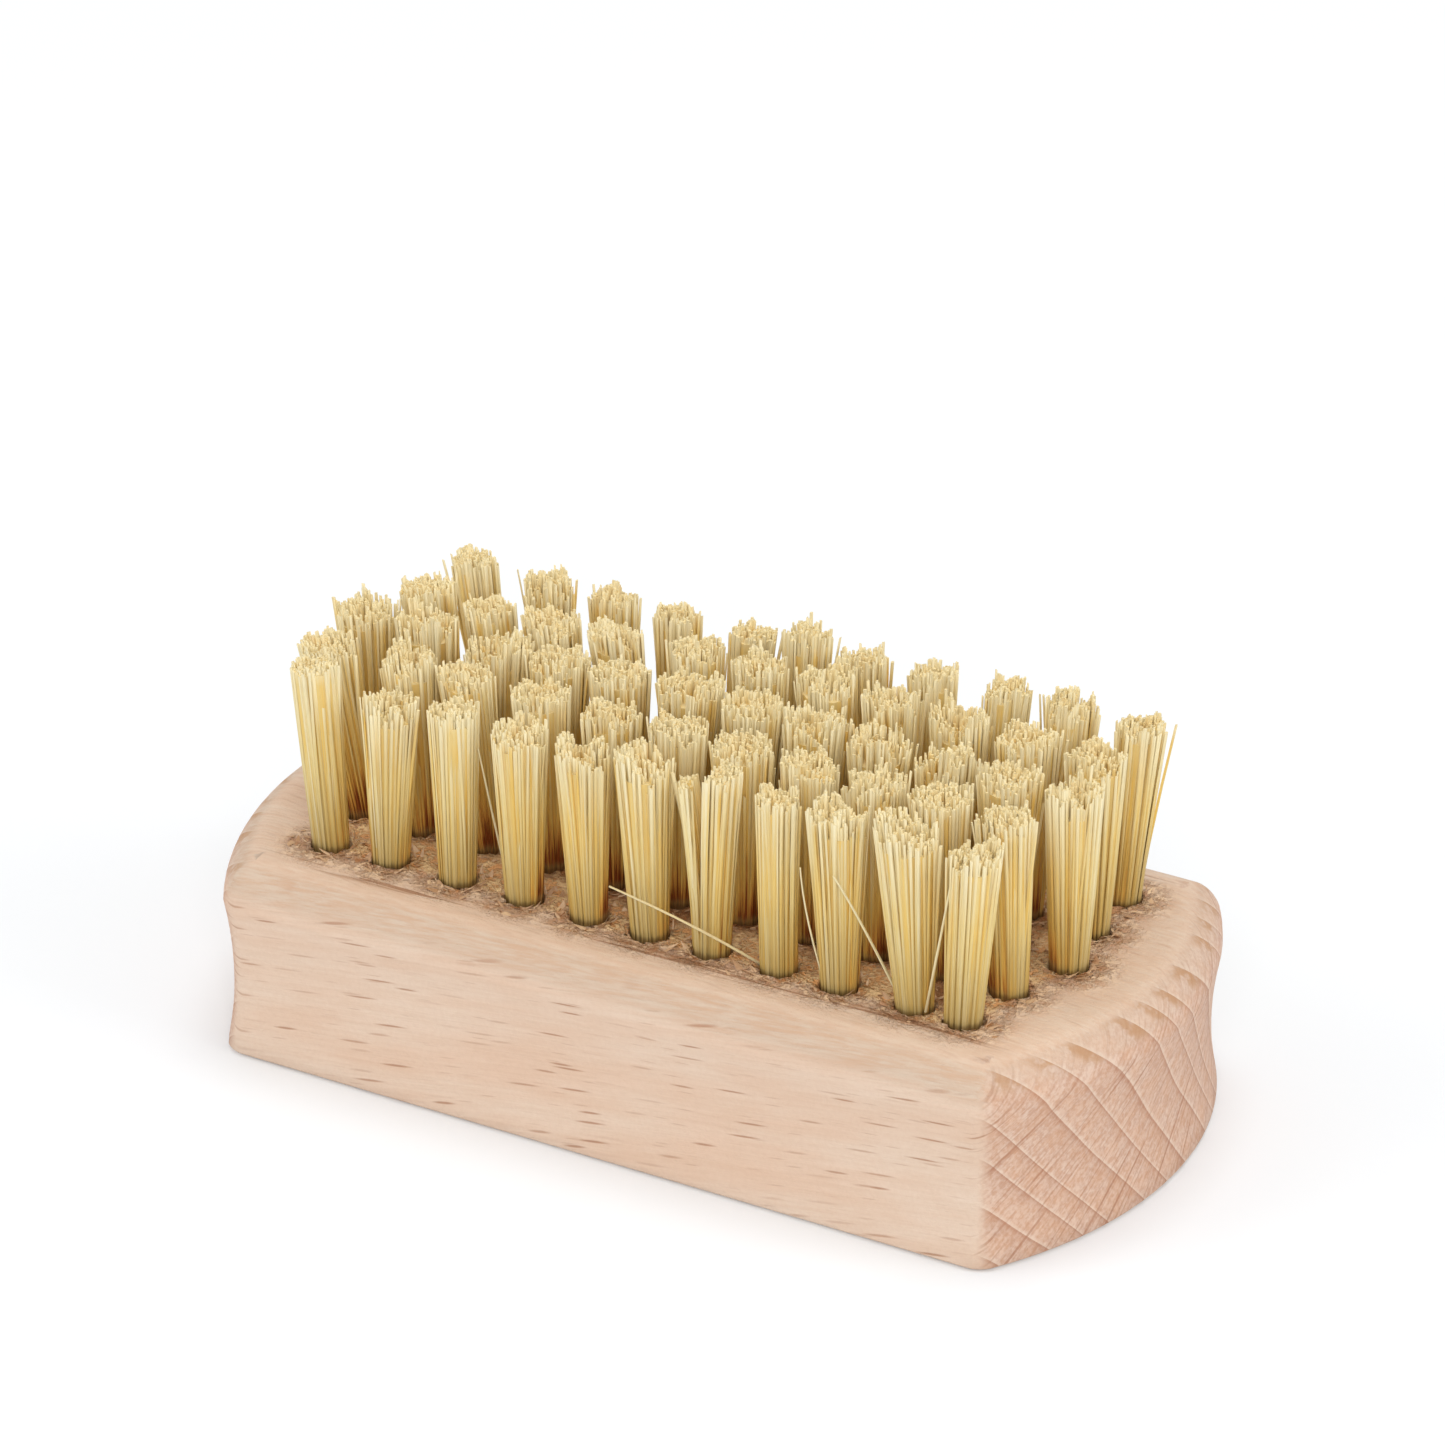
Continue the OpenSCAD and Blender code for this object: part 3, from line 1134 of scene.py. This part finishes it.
@dataclass
class TuftField:
    """All the fibres of the brush, one piece for each tuft.

    Fibres near the rim of a tuft are looser and trimmed shorter, a few are much
    shorter than the rest, and some lean out. Slow noises part the tips into
    clumps, make the cut ends ragged and give each side of a tuft its own tone.
    """

    fibres: int = 250
    seed: int = 1000
    thin: float = 0.12 * MM
    thick: float = 0.21 * MM
    flatness: float = 0.7
    flat_range: Pair = (0.8, 1.25)
    root_radius: float = 1.62 * MM
    front_radii: tuple[float, ...] = (2.15, 2.6, 2.2, 2.6, 2.3, 2.5, 2.3, 1.85, 2.5, 2.75, 2.3)
    row_radii: tuple[float, ...] = (2.3, 2.62, 2.72, 2.6, 2.0)
    radius_range: Pair = (0.93, 1.08)
    flare: float = 0.85
    # Painted shade at the feet of fibres that face neighbouring tufts: its reach, strength, fill and fade
    crowd_reach: float = 9.0 * MM
    crowd_shade: float = 0.95
    crowd_full: float = 1.5
    crowd_power: float = 1.5
    # Painted light: fibres behind the front row take a lower, more golden tone, standing in for light that
    # has passed through neighbouring fibres.
    inner_row_light_tint: float = 0.04
    root_shift: Vector = field(default_factory=lambda: Vector((-0.1, 0.08, 0.0)) * MM)
    buried: float = 2.5 * MM
    crease: float = 0.08 * MM
    arm_lean: float = 0.16 * MM
    arm_trim: float = 0.2 * MM
    split_reach: float = 0.3
    bite: float = 0.85 * MM
    bite_spread: float = 0.3 * MM
    packing: float = 0.3
    turning: float = 0.25
    stray: float = 0.12 * MM
    loose_from: float = 0.7
    loose_odds: float = 0.1
    loose_gain: float = 4.5
    loose_bend: float = 1.5
    clumping: float = 0.6 * MM
    clump_steps: Triple = (1.7, 2.3, 1.0)
    ragged_steps: Triple = (2.0, 7.3, 1.0)
    ragged_gain: float = 1.7
    ragged_drop: float = 0.15
    trim_spread: float = 0.17 * MM
    rim_from: float = 0.8
    rim_trim: float = 0.3 * MM
    short_odds: float = 0.03
    short_range: Pair = (0.04, 0.25)
    facing_spread: float = 0.5
    slant: float = 0.1 * MM
    foot_girth: float = 0.86
    girth_gain: float = 0.2
    girth_band: Pair = (0.0, 0.8)
    tip_taper: float = 0.1
    taper_band: Pair = (0.85, 1.0)
    core_share: float = 0.9
    core_drop: float = 0.55 * MM
    core_bite: float = 1.1
    core_ripple: float = 0.12
    core_waves: float = 2.6
    core_tone: float = 0.4
    inner_tone: float = 0.36
    outer_tone: float = 0.26
    band_tone: float = 0.16
    band_steps: Triple = (1.4, 3.1, 5.0)
    tone_spread: float = 0.09
    sides: int = 5
    core_sides: int = 16
    steps: tuple[float, ...] = (0.0, 0.14, 0.4, 0.7, 1.0)
    parted: dict[str, Fold] = field(default_factory=lambda: {
        "tuft_r1_07": Fold(Arm(-2.0 * MM, -1.9 * MM, 0.6), Arm(0.55 * MM, 0.1 * MM), -0.2, 0.3 * MM,
                           0.6, 1.1 * MM)})

    def build(self, plans: Sequence[TuftPlan], material: Material) -> list[Object]:
        """Builds every tuft.

        Args:
            plans: Where the tufts stand.
            material: The fibre's finish.

        Returns:
            One object for each tuft.
        """
        pattern = strand_pattern("fibre pattern", self.sides, self.steps)
        core = strand_pattern("core pattern", self.core_sides, self.steps)
        tufts = []
        for number, plan in enumerate(plans):
            chance = random.Random(self.seed + number)
            fold = self.parted.get(plan.name) or self.draw_fold(chance)
            tip_radius = self.row_radii[plan.row - 1] * chance.uniform(*self.radius_range) * MM
            if plan.row == 1:
                tip_radius = self.front_radii[plan.number - 1] * MM
            ways = [other.root - plan.root for other in plans if other.name != plan.name]
            crowd = [way.normalized() for way in ways if way.length < self.crowd_reach]
            piece = Piece(plan.name.replace("tuft", "fibres"), material, Slot.BRISTLE)
            tuft = Bundle(piece, plan, fold, tip_radius, crowd, chance)
            self.add_core(core, tuft)
            for order in range(self.fibres):
                self.add_fibre(pattern, tuft, order)
            tufts.append(piece.finish([plan.name]))
        for spare in (pattern, core):
            bpy.data.meshes.remove(spare)
        return tufts

    def draw_fold(self, chance: random.Random) -> Fold:
        """Draws a fold with small differences of its own.

        Args:
            chance: The tuft's own random numbers.

        Returns:
            The fold.
        """
        left, right = (Arm(side * abs(chance.gauss(0.0, self.arm_lean)), chance.gauss(0.0, self.arm_trim))
                       for side in (-1.0, 1.0))
        split = chance.uniform(-self.split_reach, self.split_reach)
        return Fold(left, right, split, abs(chance.gauss(self.bite, self.bite_spread)))

    def shade(self, aim: Vector, crowd: Sequence[Vector]) -> float:
        """Says how much painted shade the neighbouring tufts lay on one side of a tuft's foot."""
        closed = sum(max(aim.dot(way), 0.0) for way in crowd) / self.crowd_full
        return self.crowd_shade * min(closed, 1.0) ** self.crowd_power

    def spread(self, rise: float, tip_radius: float) -> float:
        """Gives the bundle's radius at a share of its free height."""
        return self.root_radius + (tip_radius - self.root_radius) * rise ** self.flare

    def add_core(self, pattern: Mesh, tuft: Bundle) -> None:
        """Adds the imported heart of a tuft, which closes the gaps between its outer fibres.

        Args:
            pattern: The straight strand.
            tuft: The tuft that it joins.
        """
        fold = tuft.fold
        free = tuft.free
        root = tuft.plan.root + self.root_shift
        length = self.buried + free - self.core_drop - self.core_bite * fold.bite
        lean = tuft.lean + Vector((fold.core_lean, 0.0, 0.0))
        own = own_streaks(tuft.chance)

        def shape(local: Vector) -> tuple[Vector, float]:
            """Bends the pattern along the middle of the tuft.

            Args:
                local: A point of the straight pattern.

            Returns:
                Its place in the brush, and its rise from 0 at the wood to 1 at the tip.
            """
            above = local.z * length - self.buried
            rise = max(above / free, 0.0)
            flat = Vector((local.x, local.y, 0.0))
            ripple = 1.0 + self.core_ripple * noise.noise(flat * self.core_waves + own)
            wide = self.spread(rise, tuft.tip_radius) * self.core_share * ripple
            wide *= 1.0 - (1.0 - fold.core_width) * rise
            return root + UP * above + lean * rise + flat * wide, rise

        def shade(local: Vector) -> float:
            """Lays painted shade on each side of the core by what stands beside it."""
            return self.shade(Vector((local.x, local.y, 0.0)).normalized(), tuft.crowd)

        size = Vector((self.root_radius, self.root_radius, length))
        tuft.piece.lay(pattern, shape, size, self.core_tone, own, shade)

    def trim(self, tuft: Bundle, arm: Arm, aim: Vector, share: float) -> float:
        """Draws how much longer or shorter a fibre is than its tuft.

        Args:
            tuft: The tuft.
            arm: The arm that the fibre belongs to.
            aim: The fibre's direction from the middle of the tuft.
            share: Its distance from the middle, as a share of the radius.

        Returns:
            The difference in length.
        """
        chance = tuft.chance
        landscape = noise.noise(tuft.wave(aim * share, self.ragged_steps))
        trim = arm.trim + tuft.fold.bite * (self.ragged_gain * landscape - self.ragged_drop)
        trim += chance.gauss(0.0, self.trim_spread)
        if share > self.rim_from:
            trim -= abs(chance.gauss(0.0, self.rim_trim))
        if chance.random() < self.short_odds:
            trim -= chance.uniform(*self.short_range) * tuft.free
        return trim

    def add_fibre(self, pattern: Mesh, tuft: Bundle, order: int) -> None:
        """Adds one fibre of a tuft.

        Args:
            pattern: The straight strand.
            tuft: The tuft that it joins.
            order: The fibre's number, from the middle of the tuft outwards.
        """
        chance = tuft.chance
        fold = tuft.fold
        share = math.sqrt((order + 0.5 + chance.uniform(-self.packing, self.packing)) / self.fibres)
        turn = order * GOLDEN_ANGLE + chance.uniform(-self.turning, self.turning)
        aim = Vector((math.cos(turn), math.sin(turn), 0.0))
        spot = aim * share
        arm = fold.right if spot.x > fold.split else fold.left
        middle = Vector((math.copysign(0.5, spot.x - fold.split), 0.0, 0.0))
        parting = middle * (2.0 * self.crease)
        stray = self.stray
        if share > self.loose_from and chance.random() < self.loose_odds:
            stray *= self.loose_gain
        wander = Vector((chance.gauss(arm.lean, stray), chance.gauss(0.0, stray), 0.0))
        clump = noise.noise_vector(tuft.wave(aim, self.clump_steps))
        wander += Vector((clump.x, clump.y, 0.0)) * (self.clumping * share)
        free = tuft.free
        length = self.buried + free + self.trim(tuft, arm, aim, share)
        wide = chance.uniform(self.thin, self.thick)
        flat = wide * self.flatness * chance.uniform(*self.flat_range)
        facing = turn + chance.gauss(0.0, self.facing_spread) + math.pi / 2.0
        wide_way = Vector((math.cos(facing), math.sin(facing), 0.0))
        flat_way = Vector((-wide_way.y, wide_way.x, 0.0))
        slant = chance.uniform(-1.0, 1.0) * self.slant
        root = tuft.plan.root + self.root_shift
        lean = tuft.lean

        def shape(local: Vector) -> tuple[Vector, float]:
            """Bends the pattern along the fibre's own line.

            Args:
                local: A point of the straight pattern.

            Returns:
                Its place in the brush, and its rise from 0 at the wood to 1 at the tip.
            """
            above = local.z * length - self.buried
            rise = max(above / free, 0.0)
            capped = min(rise, 1.0)
            gathered = middle + (spot - middle) * (1.0 - (1.0 - arm.keep) * capped)
            centre = root + UP * above + lean * rise + gathered * self.spread(rise, tuft.tip_radius)
            centre += parting * (1.0 - capped) + wander * rise ** self.loose_bend
            girth = self.foot_girth + self.girth_gain * smooth_step(rise, *self.girth_band)
            girth -= self.tip_taper * smooth_step(local.z, *self.taper_band)
            centre += (wide_way * (wide * local.x) + flat_way * (flat * local.y)) * girth
            if local.z > TIP_SHARE:
                centre.z += slant * local.x
            return centre, rise

        band = noise.noise(tuft.wave(aim, self.band_steps))
        tone = self.inner_tone + self.outer_tone * share + self.band_tone * band
        # The rows behind the front one get painted light as a more golden tone.
        tone += chance.gauss(0.0, self.tone_spread) - (self.inner_row_light_tint if tuft.plan.row > 1 else 0.0)
        own = own_streaks(chance)
        painted_foot_shade = self.shade(aim, tuft.crowd)
        tuft.piece.lay(pattern, shape, Vector((wide, flat, length)), min(max(tone, 0.0), 1.0), own,
                       lambda local: painted_foot_shade)


@dataclass
class BeechBlock:
    """The block's surface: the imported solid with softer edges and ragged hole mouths.

    Bands are a pair of distances between which something starts and is full.
    """

    node: str = "block"
    name: str = "beech_block"
    weld: float = 0.001 * MM
    long_step: float = 3.0 * MM
    top_step: float = 1.1 * MM
    last_step: float = 0.3
    wave: float = 0.11 * MM
    wave_size: float = 17.0 * MM
    wave_band: Pair = (0.5 * MM, 5.0 * MM)
    top_band: Pair = (1.2 * MM, 0.1 * MM)
    torn_band: Pair = (1.9 * MM, 6.4 * MM)
    # How crowded by tufts the wood is, which the material turns into painted reflected light and painted
    # shade
    crowd_size: float = 6.0 * MM
    crowded: Pair = (1.55, 2.4)
    rim_band: float = 2.15 * MM
    rim_slack: float = 0.01 * MM
    rim_lift: float = 0.28 * MM
    rim_rise: float = 0.4
    rim_tear: float = 0.33 * MM
    tear_size: float = 0.7 * MM
    sharp_angle: float = math.radians(40.0)

    def build(self, source: Object, plans: Sequence[TuftPlan], material: Material) -> Object:
        """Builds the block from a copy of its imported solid.

        Args:
            source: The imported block.
            plans: The tufts, whose roots are the holes' centres.
            material: The wood.

        Returns:
            The block that is shown.
        """
        mesh = bmesh.new()
        mesh.from_mesh(source.data)
        bmesh.ops.remove_doubles(mesh, verts=mesh.verts, dist=self.weld)
        top = max(vertex.co.z for vertex in mesh.verts)
        along, across = Vector((1.0, 0.0, 0.0)), Vector((0.0, 1.0, 0.0))
        self.cut_rows(mesh, mesh.faces[:], along, self.long_step)
        for axis in (along, across):
            flat = [face for face in mesh.faces if all(v.co.z > top - self.weld for v in face.verts)]
            self.cut_rows(mesh, flat, axis, self.top_step)
        near = mesh.verts.layers.float.new("near_hole")
        sheltered = mesh.verts.layers.float.new("sheltered")
        roots = [plan.root for plan in plans]
        for vertex in mesh.verts:
            gaps = [math.hypot(vertex.co.x - root.x, vertex.co.y - root.y) for root in roots]
            level = smooth_step(vertex.co.z, *(top - depth for depth in self.top_band))
            vertex[near] = level * (1.0 - smooth_step(min(gaps), *self.torn_band))
            # Crowding by tufts, which the wood's material turns into painted reflected light and painted
            # shade
            crowd = sum(math.exp(-(gap / self.crowd_size) ** 2) for gap in gaps)
            vertex[sheltered] = level * smooth_step(crowd, *self.crowded)
            self.wear(vertex, min(gaps), top)
        data = finished_mesh(mesh, self.name, self.sharp_angle)
        return join_brush(self.name, data, material, [self.node])

    def cut_rows(self, mesh: BMesh, faces: Sequence[BMFace], axis: Vector, step: float) -> None:
        """Cuts faces into rows, so that they can bend.

        Args:
            mesh: The block's mesh.
            faces: The faces to cut.
            axis: The direction across the rows.
            step: The width of a row.
        """
        spots = [vertex.co.dot(axis) for face in faces for vertex in face.verts]
        place = min(spots) + step
        end = max(spots) - self.last_step * step
        while place < end:
            geom = dict.fromkeys(faces)
            for face in faces:
                geom.update(dict.fromkeys([*face.edges, *face.verts]))
            cut = bmesh.ops.bisect_plane(mesh, geom=list(geom), dist=CUT_SLACK, plane_co=axis * place,
                                         plane_no=axis)
            faces = [item for item in cut["geom"] if isinstance(item, BMFace)]
            place += step

    def wear(self, vertex: BMVert, gap: float, top: float) -> None:
        """Moves one point by the block's slow unevenness and by the torn rim of a hole.

        Args:
            vertex: The point.
            gap: Its distance from the axis of the nearest hole.
            top: The height of the block's top.
        """
        free = smooth_step(vertex.co.z, *self.wave_band)
        at_rim = vertex.co.z > top - self.rim_slack and gap < self.rim_band
        tear = noise.noise_vector(vertex.co * (1.0 / self.tear_size))
        vertex.co += noise.noise_vector(vertex.co * (1.0 / self.wave_size)) * self.wave * free
        if at_rim:
            vertex.co += Vector((self.rim_tear * tear.x, self.rim_tear * tear.y,
                                 self.rim_lift * (self.rim_rise + tear.z)))


@dataclass(frozen=True)
class Shred:
    """One kind of torn wood round a hole, with lengths in millimetres.

    A width of which both ends are the same is fixed. Scatter says how far from
    the rim the kind grows.
    """

    count: int
    length: Pair
    wide: Pair
    thick: Pair
    scatter: float
    sides: int = 4
    steps: tuple[float, ...] = (0.0, 0.35, 0.7, 1.0)


@dataclass
class DrillBurrs:
    """The torn slivers, flakes and fuzz that the drill left round every hole."""

    name: str = "drill_burrs"
    seed: int = 77
    hole_radius: float = 2.0 * MM
    sunk: float = 0.03 * MM
    round_hole: Pair = (0.3, 1.0)
    outward: Pair = (-0.15, 0.6)
    lift: Pair = (0.05, 0.55)
    lift_power: float = 1.5
    bend: Pair = (-0.35, 0.35)
    taper: float = 0.8
    tone: float = 0.56
    tone_spread: float = 0.25
    shreds: tuple[Shred, ...] = (
        Shred(24, (0.5, 1.4), (0.06, 0.18), (0.03, 0.07), 0.25),
        Shred(16, (0.45, 1.2), (0.14, 0.36), (0.04, 0.08), 0.9),
        Shred(20, (0.3, 1.1), (0.032, 0.032), (0.024, 0.024), 0.9, 3, (0.0, 0.5, 1.0)),
    )

    def build(self, plans: Sequence[TuftPlan], material: Material) -> Object:
        """Builds the burrs of all holes as one piece.

        Args:
            plans: The tufts, whose roots are the holes' centres.
            material: The torn wood.

        Returns:
            The piece.
        """
        piece = Piece(self.name, material, Slot.BEECH)
        patterns = [strand_pattern("shred pattern", shred.sides, shred.steps) for shred in self.shreds]
        chance = random.Random(self.seed)
        for plan in plans:
            for shred, pattern in zip(self.shreds, patterns):
                for _ in range(shred.count):
                    self.add(piece, pattern, shred, plan.root, chance)
        for pattern in patterns:
            bpy.data.meshes.remove(pattern)
        return piece.finish()

    def add(self, piece: Piece, pattern: Mesh, shred: Shred, root: Vector, chance: random.Random) -> None:
        """Adds one curled sliver, flake or hair.

        Args:
            piece: The piece that it joins.
            pattern: The straight strand.
            shred: Its kind.
            root: The middle of its hole's mouth.
            chance: The random numbers.
        """
        length = chance.uniform(*shred.length) * MM
        spans = (shred.wide, shred.thick)
        wide, thick = (low if low == high else chance.uniform(low, high) for low, high in spans)
        size = Vector((wide, thick, 0.0)) * MM
        turn = chance.uniform(0.0, math.tau)
        out = Vector((math.cos(turn), math.sin(turn), 0.0))
        start = root + out * (self.hole_radius + abs(chance.gauss(0.0, shred.scatter)) * MM)
        around = Vector((-out.y, out.x, 0.0)) * chance.choice((-1.0, 1.0))
        heading = around * chance.uniform(*self.round_hole) + out * chance.uniform(*self.outward)
        heading.normalize()
        side = Vector((-heading.y, heading.x, 0.0))
        lift = chance.uniform(*self.lift) * length
        bend = chance.uniform(*self.bend) * length

        def shape(local: Vector) -> tuple[Vector, float]:
            """Curls the pattern up from the wood.

            Args:
                local: A point of the straight pattern.

            Returns:
                Its place in the brush, and its rise from 0 at the wood to 1 at the tip.
            """
            s = local.z
            taper = 1.0 - self.taper * s * s
            centre = start + heading * (length * s) + side * (bend * s * s)
            centre += UP * (lift * s ** self.lift_power - self.sunk)
            return centre + side * (size.x * local.x * taper) + UP * (size.y * local.y * taper), s

        tone = min(max(chance.gauss(self.tone, self.tone_spread), 0.0), 1.0)
        piece.lay(pattern, shape, Vector((size.x, size.y, length)), tone, own_streaks(chance))


@dataclass(frozen=True)
class Stray:
    """One loose fibre, with its root, a point halfway and its tip in millimetres."""

    root: Triple
    middle: Triple
    tip: Triple
    half_width: float = 0.17

    def at(self, share: float) -> Vector:
        """Gives a place on the curve through the fibre's three points.

        Args:
            share: The share of the way along the fibre.

        Returns:
            The place.
        """
        root, middle, tip = (Vector(point) * MM for point in (self.root, self.middle, self.tip))
        return (root * ((1.0 - share) * (1.0 - 2.0 * share)) + middle * (4.0 * share * (1.0 - share))
                + tip * (share * (2.0 * share - 1.0)))


@dataclass
class StrayFibres:
    """The few fibres that have left their tufts and lie across the front row."""

    name: str = "stray_fibres"
    seed: int = 5
    sides: int = 5
    steps: tuple[float, ...] = (0.0, 0.15, 0.3, 0.45, 0.6, 0.75, 0.9, 1.0)
    flatness: float = 0.7
    taper: float = 0.35
    first_rise: float = 0.3
    rise_gain: float = 0.6
    strays: tuple[Stray, ...] = (
        Stray((12.7, -14.3, 20.0), (6.3, -16.4, 23.4), (-2.0, -16.8, 25.3), 0.19),
        Stray((26.9, -14.3, 20.8), (24.2, -16.3, 28.2), (21.5, -16.8, 32.7), 0.2),
        Stray((-14.5, -13.7, 19.9), (-16.3, -13.6, 26.9), (-17.9, -13.6, 33.9), 0.15),
        Stray((19.3, -14.4, 20.0), (18.2, -15.6, 26.8), (17.5, -15.8, 32.0)),
        Stray((30.0, -14.8, 20.2), (31.8, -15.6, 28.4), (32.9, -15.6, 34.8)),
    )

    def build(self, material: Material) -> Object:
        """Builds the loose fibres as one piece.

        Args:
            material: The fibre's finish.

        Returns:
            The piece.
        """
        piece = Piece(self.name, material, Slot.BRISTLE)
        pattern = strand_pattern("stray pattern", self.sides, self.steps)
        chance = random.Random(self.seed)
        for stray in self.strays:
            line = stray.at(1.0) - stray.at(0.0)
            level = line.cross(UP).normalized()
            raised = level.cross(line).normalized()
            half = stray.half_width * MM

            def shape(local: Vector) -> tuple[Vector, float]:
                """Bows the pattern along the fibre's own curve.

                Args:
                    local: A point of the straight pattern.

                Returns:
                    Its place in the brush and its rise.
                """
                across = level * local.x + raised * (self.flatness * local.y)
                place = stray.at(local.z) + across * (half * (1.0 - self.taper * local.z))
                return place, self.first_rise + self.rise_gain * local.z

            piece.lay(pattern, shape, Vector((half, half, line.length)), 1.0, own_streaks(chance))
        bpy.data.meshes.remove(pattern)
        return piece.finish()


@dataclass(frozen=True)
class Lamp:
    """One soft square lamp that looks at the brush."""

    name: str
    place: Triple
    size: float
    power: float


@dataclass
class Studio:
    """The plain pale floor, the soft light and the camera."""

    azimuth: float = math.radians(30.29)
    elevation: float = math.radians(27.06)
    distance: float = 768.2 * MM
    target: Vector = field(default_factory=lambda: Vector((0.18, 0.0, 35.23)) * MM)
    lens: float = 207.69
    sensor: float = 36.0
    clip: Pair = (0.01, 20.0)
    floor_size: float = 6.0
    floor_colour: Colour = (0.775, 0.792, 0.808, 1.0)
    floor_lift: float = 0.15
    floor_gap: float = 0.03 * MM
    world_light: float = 0.6
    lamps: tuple[Lamp, ...] = (
        Lamp("key", (-1.1, -0.9, 1.1), 0.9, 5.6),
        Lamp("overhead", (0.0, 0.25, 1.6), 0.9, 7.3),
        Lamp("fill", (1.3, 0.2, 0.8), 0.8, 4.6),
        Lamp("front", (0.62, -1.08, 0.68), 0.5, 4.7),
    )

    def build(self) -> None:
        """Builds the whole studio."""
        self.build_floor()
        self.build_world()
        for lamp in self.lamps:
            self.hang(lamp)
        self.place_camera()

    def build_floor(self) -> None:
        """Lays a white floor that keeps the brush's shadow and can be seen through from below."""
        mesh = bmesh.new()
        bmesh.ops.create_grid(mesh, x_segments=1, y_segments=1, size=self.floor_size / 2.0)
        floor = new_object("floor", finished_mesh(mesh, "floor"))
        floor.location.z = -self.floor_gap
        material = bpy.data.materials.new("Studio floor")
        material.use_nodes = True
        graph = ShaderGraph(material.node_tree)
        plain = graph.add("ShaderNodeBsdfDiffuse", {"Color": self.floor_colour}).outputs[0]
        seen = graph.add("ShaderNodeLightPath").outputs
        straight = graph.most(*(seen[f"Is {kind} Ray"] for kind in ("Camera", "Glossy", "Transmission")))
        strength = graph.product(straight, self.floor_lift)
        glow = graph.add("ShaderNodeEmission", {"Color": grey(1.0), "Strength": strength}).outputs[0]
        both = graph.add("ShaderNodeAddShader", {0: plain, 1: glow}).outputs[0]
        below = graph.add("ShaderNodeNewGeometry").outputs["Backfacing"]
        clear = graph.add("ShaderNodeBsdfTransparent").outputs[0]
        sheet = graph.add("ShaderNodeMixShader", {0: below, 1: both, 2: clear}).outputs[0]
        graph.add("ShaderNodeOutputMaterial", {"Surface": sheet})
        floor.data.materials.append(material)

    def build_world(self) -> None:
        """Makes the world white to look at and a plain level of light to the brush."""
        world = bpy.data.worlds.new("Studio world")
        world.use_nodes = True
        bpy.context.scene.world = world
        graph = ShaderGraph(world.node_tree)
        seen = graph.add("ShaderNodeLightPath").outputs
        straight = graph.most(seen["Is Camera Ray"], seen["Is Transmission Ray"])
        strength = graph.remap(straight, 0.0, 1.0, self.world_light, 1.0)
        light = graph.add("ShaderNodeBackground", {"Color": grey(1.0), "Strength": strength})
        graph.add("ShaderNodeOutputWorld", {"Surface": light.outputs[0]})

    def aim(self, holder: Object, place: Vector, way: Vector) -> None:
        """Puts a lamp or the camera at a place and turns it along a direction."""
        holder.matrix_world = Matrix.Translation(place) @ way.to_track_quat("-Z", "Y").to_matrix().to_4x4()

    def hang(self, lamp: Lamp) -> None:
        """Hangs one lamp and turns it to the brush.

        Args:
            lamp: Where it hangs, how large it is and how bright.
        """
        light = bpy.data.lights.new(lamp.name, "AREA")
        light.shape = "SQUARE"
        light.size = lamp.size
        light.energy = lamp.power
        place = Vector(lamp.place)
        self.aim(new_object(lamp.name, light), place, self.target - place)

    def place_camera(self) -> None:
        """Puts the camera at the picture's viewing angle."""
        camera = bpy.data.cameras.new("camera")
        camera.lens = self.lens
        camera.sensor_width = self.sensor
        camera.clip_start, camera.clip_end = self.clip
        level = math.cos(self.elevation)
        back = Vector((math.sin(self.azimuth) * level, -math.cos(self.azimuth) * level,
                       math.sin(self.elevation)))
        holder = new_object("camera", camera)
        self.aim(holder, self.target + back * self.distance, -back)
        bpy.context.scene.camera = holder


def main() -> None:
    """Builds the brush and its studio in order."""
    logging.basicConfig(level=logging.INFO, format="%(name)s: %(message)s")
    noise.seed_set(NOISE_SEED)
    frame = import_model()
    nodes = frame["nodes"]
    bpy.context.scene.view_settings.view_transform = "Standard"

    grain = Grain()
    figure = grain.figure()
    mottle = Mottle().group()
    wood_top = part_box("block")[1].z
    plans = [TuftPlan.read(nodes[name], wood_top) for name in sorted(nodes) if name.startswith("tuft_")]

    Studio().build()
    fibre = PlantFibre().material(mottle, wood_top)
    pieces = [BeechBlock().build(nodes["block"], plans, Beech(grain).material(figure, mottle)),
              DrillBurrs().build(plans, TornBeech().material(mottle)),
              *TuftField().build(plans, fibre),
              StrayFibres().build(fibre)]
    anchors = nodes["anchors"]
    anchors.data.materials.clear()
    anchors.data.materials.append(SteelWire().material(mottle))
    for piece in (*pieces, anchors):
        LOG.info("%s: %d faces, %s", piece.name, len(piece.data.polygons), piece.data.materials[0].name)


if __name__ == "__main__":
    main()
